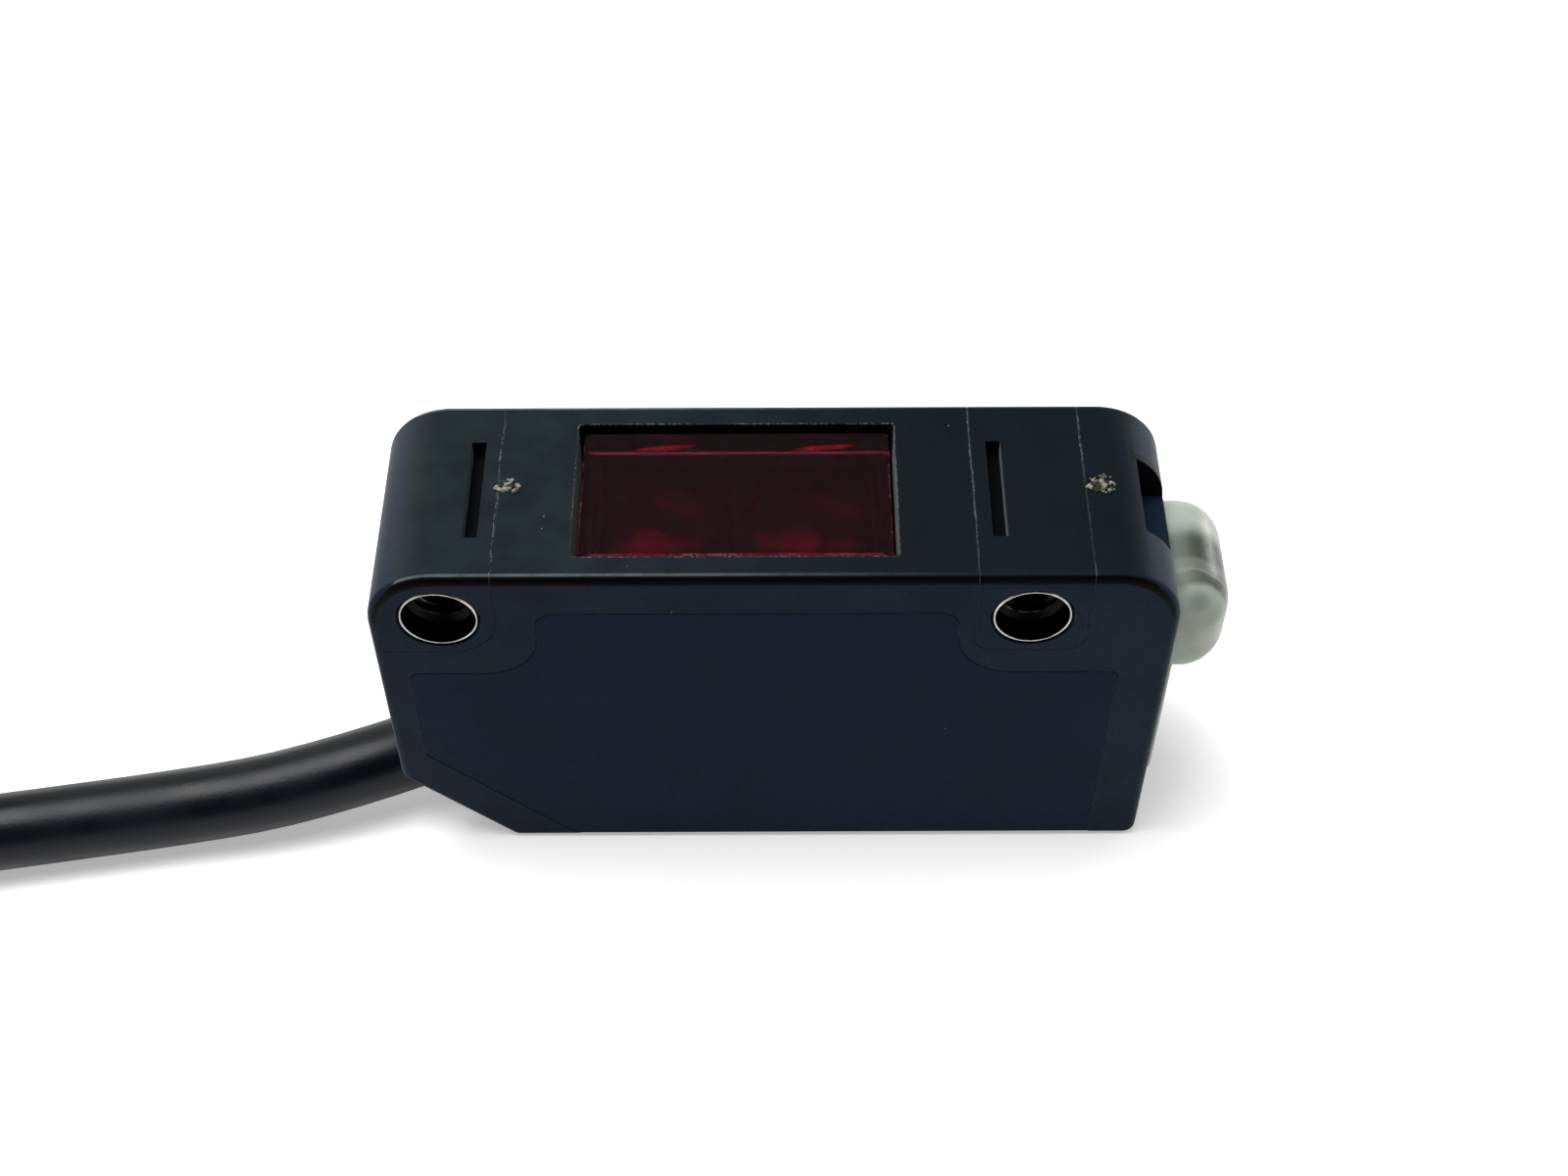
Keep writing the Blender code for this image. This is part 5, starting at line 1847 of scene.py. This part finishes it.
@dataclass
class Lead:
    """The free lead: its jacket, laid out and tied up in a hank, the tie and the stripped ends."""

    bushing: Bushing
    dresser: Dresser
    jacket: Jacket
    strap: Webbing
    copper: TurnedMetal
    cores: dict[str, tuple[SmallPart, Slot]]
    radius: float = 0.00185
    rest: float = 0.0019
    gap: float = 0.0003
    tuck: float = 0.0006
    route: tuple[tuple[float, float, float], ...] = (
        (-0.0245, -0.0040, 0.00225),
        (-0.0290, -0.0047, 0.00195),
        (-0.0340, -0.0055, 0.0019),
        (-0.0395, -0.0064, 0.0019),
        (-0.0455, -0.0075, 0.0019),
        (-0.0510, -0.0083, 0.0019),
        (-0.0565, -0.0087, 0.0019),
        (-0.0605, -0.0087, 0.0019),
    )
    fold_radius: float = 0.0112
    loop_step: float = 0.0045
    layer_rise: float = 0.0043
    run_half: float = 0.0280
    waist_draw: float = 0.0075
    waist_lift: float = 0.0012
    layers: int = 6
    layer_loops: float = 1.5
    run_points: int = 5
    fold_points: int = 7
    last_run: float = 2.9
    fine: int = 4
    tie_width: float = 0.0060
    tie_thickness: float = 0.0008
    tie_corner: float = 0.0025
    tail_inset: float = 0.0003
    tail_edge: float = 0.0003
    tail_reach: tuple[float, float] = (0.35, 0.55)
    tail_rise: tuple[float, float] = (0.5, 1.7)
    core_radius: float = 0.00045
    tip_radius: float = 0.0003
    core_spacing: float = 0.0013
    core_length: float = 0.0600
    core_points: int = 12
    tip_length: float = 0.0060
    tip_steps: int = 24
    tip_turns: float = 1.5

    @property
    def loop_points(self) -> int:
        """How many stations a loop of the hank has."""
        return 2 * (self.run_points + self.fold_points)

    @property
    def loops(self) -> int:
        """How many whole loops the hank has."""
        return int(self.layers * self.layer_loops)

    @property
    def end_turn(self) -> float:
        """The turn of the hank at which the jacket ends."""
        return self.loops + self.last_run / self.loop_points

    def build(self) -> None:
        line = self.jacket_line()
        piece = tube("lead_jacket", line, self.radius, 6)
        self.dresser.put(piece, self.jacket, Slot.JACKET, ["cable", "cable_hank"])
        tie = self.make_tie()
        for place, colour in enumerate(("brown", "white", "blue", "black")):
            self.make_end(place, colour)

    def jacket_line(self) -> np.ndarray:
        """The jacket's centreline, from inside the bushing to the end of the hank.

        Returns:
            An array of points.
        """
        begin = self.bushing.point + self.bushing.way * (self.bushing.out - self.tuck)
        straight = begin + self.bushing.way * (2 * self.radius + self.gap + self.tuck)
        laid = smooth_route([begin, straight, *self.route], 0.0016)
        stations = np.arange(0, self.end_turn * self.loop_points, 1 / self.fine)
        turns = [*(stations / self.loop_points), self.end_turn]
        wound = [self.hank_point(turn) for turn in turns]
        between = wound[0] + np.array([2 * self.radius, 0, 0])
        return np.array([*laid[:-1], (laid[-1] + between) / 2, (between + wound[0]) / 2, *wound])

    def loop_radius(self, turn: float) -> float:
        """How far out the hank's cord lies: in along one layer and out along the next, at a steady rate.

        Args:
            turn: How many turns have been wound.

        Returns:
            The distance from the middle of the fold.
        """
        half_run = self.run_points / 2 / self.loop_points
        inner_turns = [self.layer_loops * layer + half_run for layer in range(1, self.layers, 2)]
        return self.fold_radius + self.loop_step * min(abs(turn - inner) for inner in inner_turns)

    def loop_height(self, turn: float) -> float:
        """How high the hank's cord lies: it climbs along a run, at the end of each layer's loops.

        Args:
            turn: How many turns have been wound.

        Returns:
            The height.
        """
        height = self.rest
        run = self.run_points / self.loop_points
        for layer in range(1, self.layers):
            share = min(max((turn - layer * self.layer_loops) / run, 0), 1)
            height += self.layer_rise * share * share * (3 - 2 * share)
        return height

    def hank_middle(self) -> tuple[float, float]:
        """The hank's middle on the surface, from where the lead runs into it."""
        x, y, _ = self.route[-1]
        return x - self.gap - 2 * self.radius - self.run_half, y + self.loop_radius(0)

    def hank_point(self, turn: float, outward: float = 0.0) -> np.ndarray:
        """A point of the hank's cord after so many turns, or one beside it.

        Args:
            turn: How many turns have been wound.
            outward: How far beside the cord the point lies.

        Returns:
            The point.
        """
        middle_x, middle_y = self.hank_middle()
        radius = self.loop_radius(turn) + outward
        step = (turn % 1) * self.loop_points
        side = -1
        if step >= self.loop_points / 2:
            step -= self.loop_points / 2
            side = 1
        height = self.loop_height(turn)
        if step <= self.run_points:
            along = side * (2 * step / self.run_points - 1) * self.run_half
            waist = math.cos(math.pi * along / 2 / self.run_half) ** 2
            across = side * (radius - self.waist_draw * waist)
            height += self.waist_lift * waist
        else:
            angle = math.pi * (step - self.run_points) / self.fold_points
            along = side * (self.run_half + radius * math.sin(angle))
            across = side * radius * math.cos(angle)
        return np.array([middle_x + along, middle_y + across, height])

    def make_tie(self) -> bpy.types.Object:
        """The strap round the waist of the hank, with its tail laid over it.

        Returns:
            The strap.
        """
        middle_x, middle_y = self.hank_middle()
        half = self.loop_radius(self.end_turn) - self.waist_draw + self.radius + self.gap
        foot = self.tie_thickness + self.gap / 4
        top = self.loop_height(self.loops) + self.waist_lift + self.radius + self.gap
        inner = rectangle((middle_y, (foot + top) / 2), (2 * half, top - foot), self.tie_corner)
        low, high = middle_x - self.tie_width / 2, middle_x + self.tie_width / 2
        ring = Shape.prism(inset(inner, -self.tie_thickness), Axis.X, low, high)
        over = self.bushing.body.over
        hole = Shape.prism(inner, Axis.X, low - over, high + over)
        tie = carve(ring.as_object("hank_strap"), Carve.CUT, [hole])
        tail_foot, tail_top = (top + rise * self.tie_thickness for rise in self.tail_rise)
        back, front = (reach * half for reach in self.tail_reach)
        tail = Shape.block(
            (low + self.tail_inset, middle_y - back, tail_foot),
            (high - self.tail_inset, middle_y + front, tail_top),
        )
        tail.soften(tail.rims(Axis.Z, tail_top), self.tail_edge, 3)
        carve(tie, Carve.JOIN, [tail])
        return self.dresser.put(tie, self.strap, Slot.STRAP, ["hank_tie"])

    def make_end(self, place: int, colour: str) -> None:
        """One stripped end: its insulation, laid over the hank, and its bare twisted tip.

        Args:
            place: Its place among the four, from the inside of the hank.
            colour: Its colour.
        """
        end = self.hank_point(self.end_turn)
        forward = end - self.hank_point(self.end_turn - 1e-4)
        forward /= np.linalg.norm(forward)
        aside = np.array([-forward[1], forward[0], 0])
        under = self.layer_rise - self.radius - self.core_radius - self.gap
        across = (place - 1.5) * self.core_spacing
        outer = place in (0, 3)
        core_across = self.core_spacing / 2 * (1 if place >= 2 else -1)
        core_up = self.core_spacing / 2 * (1 if outer else -1)
        begin = end - forward * self.gap + aside * core_across + np.array([0, 0, core_up])
        route = [begin, begin + forward * (self.gap * 2 + 2 * self.core_radius)]
        turn, lowered = self.end_turn, 0.0
        while path_length(np.array(route)) < self.core_length:
            turn += 1.1 / self.loop_points
            lowered = min(lowered + (0.5 if outer else 1.0), 1.0)
            route.append(self.hank_point(turn, across) - np.array([0, 0, under * lowered]))
        spacing = self.core_length / self.core_points / 5
        points = smooth_route(route, spacing)[: 5 * self.core_points + 1]
        piece = tube(f"stripped_end_{colour}", points, self.core_radius, 4)
        finish, slot = self.cores[colour]
        self.dresser.put(piece, finish, slot, [f"lead_{colour}"])
        tip = self.make_tip(colour, points)

    def make_tip(self, colour: str, points: np.ndarray) -> bpy.types.Object:
        """The bare tip: a bundle of strands, twisted along its length.

        Args:
            colour: The core's colour.
            points: The core's centreline, which the tip carries on.

        Returns:
            The tip.
        """
        way = Vector(points[-1] - points[-2]).normalized()
        shape = Shape()
        bm = shape.bm
        made = bmesh.ops.create_circle(bm, radius=self.tip_radius, segments=14)
        for vert in made["verts"][::2]:
            vert.co *= 0.72
        bmesh.ops.spin(
            bm,
            geom=bm.verts[:] + bm.edges[:],
            cent=(0, 0, 0),
            axis=(0, 0, 1),
            dvec=(0, 0, self.tip_length / self.tip_steps),
            angle=self.tip_turns * FULL_TURN,
            steps=self.tip_steps,
        )
        bmesh.ops.holes_fill(bm, edges=[edge for edge in bm.edges if edge.is_boundary], sides=0)
        start = Vector(points[-1]) - way * self.core_radius
        turn = way.to_track_quat("Z", "Y").to_matrix().to_4x4()
        shape.tidy().move(Matrix.Translation(start) @ turn)
        slot = self.cores[colour][1]
        return self.dresser.put(shape.as_object(f"bare_tip_{colour}"), self.copper, slot)


@dataclass
class Studio:
    """The camera, the pale floor, the lamps and the white surroundings."""

    camera_at: Point = (0.0000743, -0.0640341, 0.0909277)
    yaw: float = 0.0058
    pitch: float = 0.8845
    roll: float = 0.0011
    lens: float = 50.875
    floor_size: float = 3.0
    ambient: float = 0.42
    floor_white: float = 0.86
    lift_near: tuple[float, float] = (0.05, 0.38)
    lift_far: tuple[float, float] = (0.16, 0.72)

    def place_camera(self) -> None:
        """The camera, at the photograph's viewing angle."""
        level_ahead = Vector((math.sin(self.yaw), math.cos(self.yaw), 0))
        ahead = level_ahead * math.cos(self.pitch) - Vector((0, 0, math.sin(self.pitch)))
        level = Vector((math.cos(self.yaw), -math.sin(self.yaw), 0))
        upward = level.cross(ahead)
        right = math.cos(self.roll) * level + math.sin(self.roll) * upward
        up = math.cos(self.roll) * upward - math.sin(self.roll) * level
        data = bpy.data.cameras.new("camera")
        data.lens = self.lens
        data.sensor_width = 36.0
        data.clip_start, data.clip_end = 0.005, 20.0
        camera = bpy.data.objects.new("camera", data)
        turn = Matrix((right, up, -ahead)).transposed().to_4x4()
        camera.matrix_world = Matrix.Translation(self.camera_at) @ turn
        bpy.context.scene.collection.objects.link(camera)
        bpy.context.scene.camera = camera

    def light(self) -> None:
        """The floor, the surroundings and the lamps."""
        bpy.context.scene.view_settings.view_transform = "Standard"
        self.make_world()
        self.make_floor()
        self.lamp("overhead", (-0.12, 0.05, 0.50), (0, 0, 0.01), (0.34, 0.34), 3.2)
        self.lamp("left_low", (-0.34, 0.22, 0.12), (-0.01, 0, 0.014), (0.10, 0.20), 0.8)
        self.lamp("right_low", (0.36, 0.26, 0.07), (0.015, 0, 0.014), (0.10, 0.12), 0.55)
        self.flag("flag_behind_camera", (0, -0.20, 0.18), (0, 0, 0.012), (0.46, 0.32), 0.02)
        self.flag("flag_at_the_back", (0.06, 0.27, 0.36), (0, 0, 0.015), (0.42, 0.26), 0.12)

    def make_world(self) -> None:
        """White to the camera and in reflections, and a soft even light elsewhere."""
        world = bpy.data.worlds.new("surroundings")
        bpy.context.scene.world = world
        world.use_nodes = True
        tree = world.node_tree
        background = tree.nodes["Background"]
        background.inputs["Color"].default_value = (1, 1, 1, 1)
        seen = self.seen_directly(tree)
        strength = tree.nodes.new("ShaderNodeMapRange")
        tree.links.new(seen, strength.inputs["Value"])
        strength.inputs["To Min"].default_value = self.ambient
        strength.inputs["To Max"].default_value = 1.0
        tree.links.new(strength.outputs["Result"], background.inputs["Strength"])

    @staticmethod
    def seen_directly(tree: bpy.types.NodeTree) -> Socket:
        """A mask that is 1 for camera, glossy and transmission rays.

        Args:
            tree: The tree that takes the nodes.

        Returns:
            The mask.
        """
        path = tree.nodes.new("ShaderNodeLightPath")
        result = path.outputs["Is Camera Ray"]
        for name in ("Is Glossy Ray", "Is Transmission Ray"):
            either = tree.nodes.new("ShaderNodeMath")
            either.operation = "MAXIMUM"
            tree.links.new(result, either.inputs[0])
            tree.links.new(path.outputs[name], either.inputs[1])
            result = either.outputs[0]
        return result

    def make_floor(self) -> None:
        """A plain pale floor that reads as white and keeps the object's shadow."""
        shape = Shape()
        bmesh.ops.create_grid(shape.bm, x_segments=2, y_segments=2, size=self.floor_size / 2)
        floor = shape.as_object("floor")
        s = Shader("pale_floor")
        s.set(Base_Color=as_rgba(3 * (self.floor_white,)), Roughness=0.9, Specular_IOR_Level=0.0)
        x, y, _ = s.axes()
        near, near_lift = self.lift_near
        far, far_lift = self.lift_far
        lift = s.fit(s.span(x, y), near, far, near_lift, far_lift)
        s.set(Emission_Color=(1, 1, 1, 1), Emission_Strength=s.both(self.seen_directly(s.tree), lift))
        floor.data.materials.append(s.material)

    @staticmethod
    def flag(name: str, at: Point, to: Point, size: tuple[float, float], grey: float) -> None:
        """A dark card, out of the camera's sight, that keeps light and reflections off.

        Args:
            name: The card's name.
            at: Its place.
            to: The point that it faces.
            size: Its width and height.
            grey: How pale it is.
        """
        shape = Shape()
        turn = (Vector(to) - Vector(at)).to_track_quat("-Z", "Y").to_matrix().to_4x4()
        bmesh.ops.create_grid(shape.bm, x_segments=1, y_segments=1, size=0.5)
        shape.move(Matrix.Translation(at) @ turn @ Matrix.Diagonal((*size, 1, 1)))
        card = shape.as_object(name)
        s = Shader(name)
        s.set(Base_Color=(grey, grey, grey, 1), Roughness=1.0, Specular_IOR_Level=0.0)
        card.data.materials.append(s.material)
        card.visible_camera = False

    @staticmethod
    def lamp(name: str, at: Point, to: Point, size: tuple[float, float], power: float) -> None:
        """A soft rectangular lamp.

        Args:
            name: The lamp's name.
            at: Its place.
            to: The point that it faces.
            size: Its width and height.
            power: Its power in watts.
        """
        data = bpy.data.lights.new(name, "AREA")
        data.shape = "RECTANGLE"
        data.size, data.size_y = size
        data.energy = power
        lamp = bpy.data.objects.new(name, data)
        lamp.location = at
        lamp.rotation_mode = "QUATERNION"
        lamp.rotation_quaternion = (Vector(to) - Vector(at)).to_track_quat("-Z", "Y")
        bpy.context.scene.collection.objects.link(lamp)


class Palette:
    """Every finish on the object."""

    case = Moulding(
        "case_plastic",
        (0.0022, 0.0050, 0.0080),
        # A film on top, partly dust and partly painted light.
        (0.0100, 0.0165, 0.0190),
        film_from=0.0194,
        # Painted light: a paler, bluer colour for the faces below the top.
        sides=(0.0055, 0.0130, 0.0260),
        seams=(-0.01193, 0.00862, 0.01350),
        lip=Rectangle((-0.00165, 0.0), (0.00697, 0.00383)),
        # A painted highlight on the rounded long edges of the lens face.
        edge_highlight=(0.080, 0.098, 0.096),
        # Painted shade in the slots, the notch and the window's pocket.
        shaded_hollows=(
            Rectangle((-0.01294, 0.0), (0.00034, 0.0029)),
            Rectangle((0.00964, 0.0), (0.00034, 0.0029)),
            Rectangle((0.0169, 0.00215), (0.0012, 0.0003)),
            Rectangle((-0.00165, 0.0), (0.00700, 0.00386)),
        ),
    )
    cover = Moulding("cover_plastic", (0.0014, 0.0060, 0.0195), (0.016, 0.02, 0.022))
    torn = TornPlastic("torn_plastic", (0.30, 0.28, 0.22), (0.015, 0.016, 0.016))
    bright = TurnedMetal(
        "sleeve_bright",
        (0.52, 0.49, 0.46),
        0.25,
        # The bores take painted shade, with painted highlights on the thread crests.
        bores=((-0.01435, 0.0169), (0.01105, 0.0169)),
    )
    copper = TurnedMetal("bare_copper", (0.75, 0.42, 0.27), 0.3)
    pane = ClearPlastic(
        "window_clear_red",
        (0.37, 0.028, 0.085),
        clear=0.993,
        edge=Rectangle((-0.00165, 0.0), (0.00668, 0.00350)),
        # A border blackened as painted shade.
        border=Rectangle((-0.00165, 0.0), (0.00635, 0.00300)),
        glints=(
            Glint((-0.00475, 0.00325), (0.00165, 0.00020), 0.09, 1.0),
            Glint((0.00228, 0.00325), (0.00165, 0.00020), 0.09, 1.0),
            Glint((-0.0060, -0.0026), (0.0013, 0.0004), 0.0, 0.16),
            Glint((-0.0040, -0.0025), (0.0013, 0.0005), 0.15, 0.23),
            Glint((-0.00035, -0.0022), (0.0008, 0.0006), -0.3, 0.18),
            Glint((0.0012, -0.00255), (0.0016, 0.0003), 0.0, 0.16),
            Glint((0.0029, -0.0025), (0.0012, 0.00045), 0.1, 0.23),
        ),
    )
    lens = ClearPlastic("lens_clear_red", (0.40, 0.04, 0.04), 0.12)
    frosted = FrostedPlastic(
        "frosted_plastic",
        (0.40, 0.44, 0.38),
        # The colour of the painted shade inside the cap.
        (0.022, 0.028, 0.021),
        ((-0.0004, 0.0016, 1.0), (-0.0013, 0.0011, 0.8), (-0.0021, 0.00055, 0.9)),
        bands_from=0.0154,
    )
    jacket = Jacket("jacket_black", (0.0014, 0.0022, 0.0040), roughness=0.34, specular=0.2)
    strap = Webbing("strap_weave", (0.02, 0.02, 0.022))
    rubber = SmallPart("black_rubber", (0.016, 0.016, 0.017), 0.7)
    chip = SmallPart("chip_moulding", (0.02, 0.02, 0.021), 0.5)
    diode = SmallPart("diode_moulding", (0.03, 0.02, 0.03), 0.2)
    lamp_red = SmallPart("red_lamp", (0.75, 0.06, 0.04), 0.25)
    lamp_orange = SmallPart("orange_lamp", (0.82, 0.30, 0.04), 0.25)
    lamp_green = SmallPart("green_lamp", (0.10, 0.58, 0.12), 0.25)
    shield = SmallPart("tinned_sheet", (0.68, 0.68, 0.66), 0.3, 1.0)
    board = SmallPart("solder_mask", (0.02, 0.16, 0.07), 0.42, 0.0, 0.0012)
    capacitor = SmallPart("ochre_moulding", (0.55, 0.32, 0.06), 0.45)
    rotor = SmallPart("dial_white", (0.74, 0.73, 0.69), 0.45)
    control = SmallPart("control_grey_moulding", (0.10, 0.11, 0.12), 0.5)
    cores = {
        "brown": (SmallPart("brown_insulation", (0.15, 0.058, 0.025), 0.42), Slot.BROWN),
        "blue": (SmallPart("blue_insulation", (0.02, 0.09, 0.38), 0.42), Slot.BLUE),
        "black": (SmallPart("black_insulation", (0.015, 0.015, 0.016), 0.42), Slot.BLACK),
        "white": (SmallPart("white_insulation", (0.74, 0.74, 0.71), 0.42), Slot.WHITE),
    }
    kept = {
        "window_seal": rubber,
        "optics_holder": chip,
        "emitter_led": lamp_red,
        "receiver_photodiode": diode,
        "receiver_shield": shield,
        "circuit_board": board,
        "control_chip": chip,
        "output_transistor": chip,
        "supply_capacitor": capacitor,
        "indicator_led_output": lamp_orange,
        "indicator_led_stability": lamp_green,
        "trimmer_body": control,
        "selector_body": control,
    }


def main() -> None:
    """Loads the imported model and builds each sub-assembly."""
    logging.basicConfig(level=logging.INFO, format="%(message)s")
    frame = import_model()
    dresser = Dresser()
    body = BodySizes()
    studio = Studio()
    studio.place_camera()
    bushing = Bushing(body, dresser, Palette.rubber, Palette.cores)
    Lead(bushing, dresser, Palette.jacket, Palette.strap, Palette.copper, Palette.cores).build()
    bushing.build()
    Housing(body, dresser, Palette.case, Palette.cover).build(bushing)
    Crumbs(body, dresser, Palette.torn).build()
    Sleeves(body, dresser, Palette.bright).build()
    Optics(body, dresser, Palette.pane, Palette.lens).build()
    Indicator(body, dresser, Palette.frosted).build()
    for kind, x in zip(("trimmer", "selector"), Housing.wells):
        Control(kind, x, dresser, Palette.rotor, Palette.rubber).build()
    for node, finish in Palette.kept.items():
        dresser.repaint(frame["nodes"][node], finish)
    studio.light()
    bpy.context.view_layer.update()


if __name__ == "__main__":
    main()
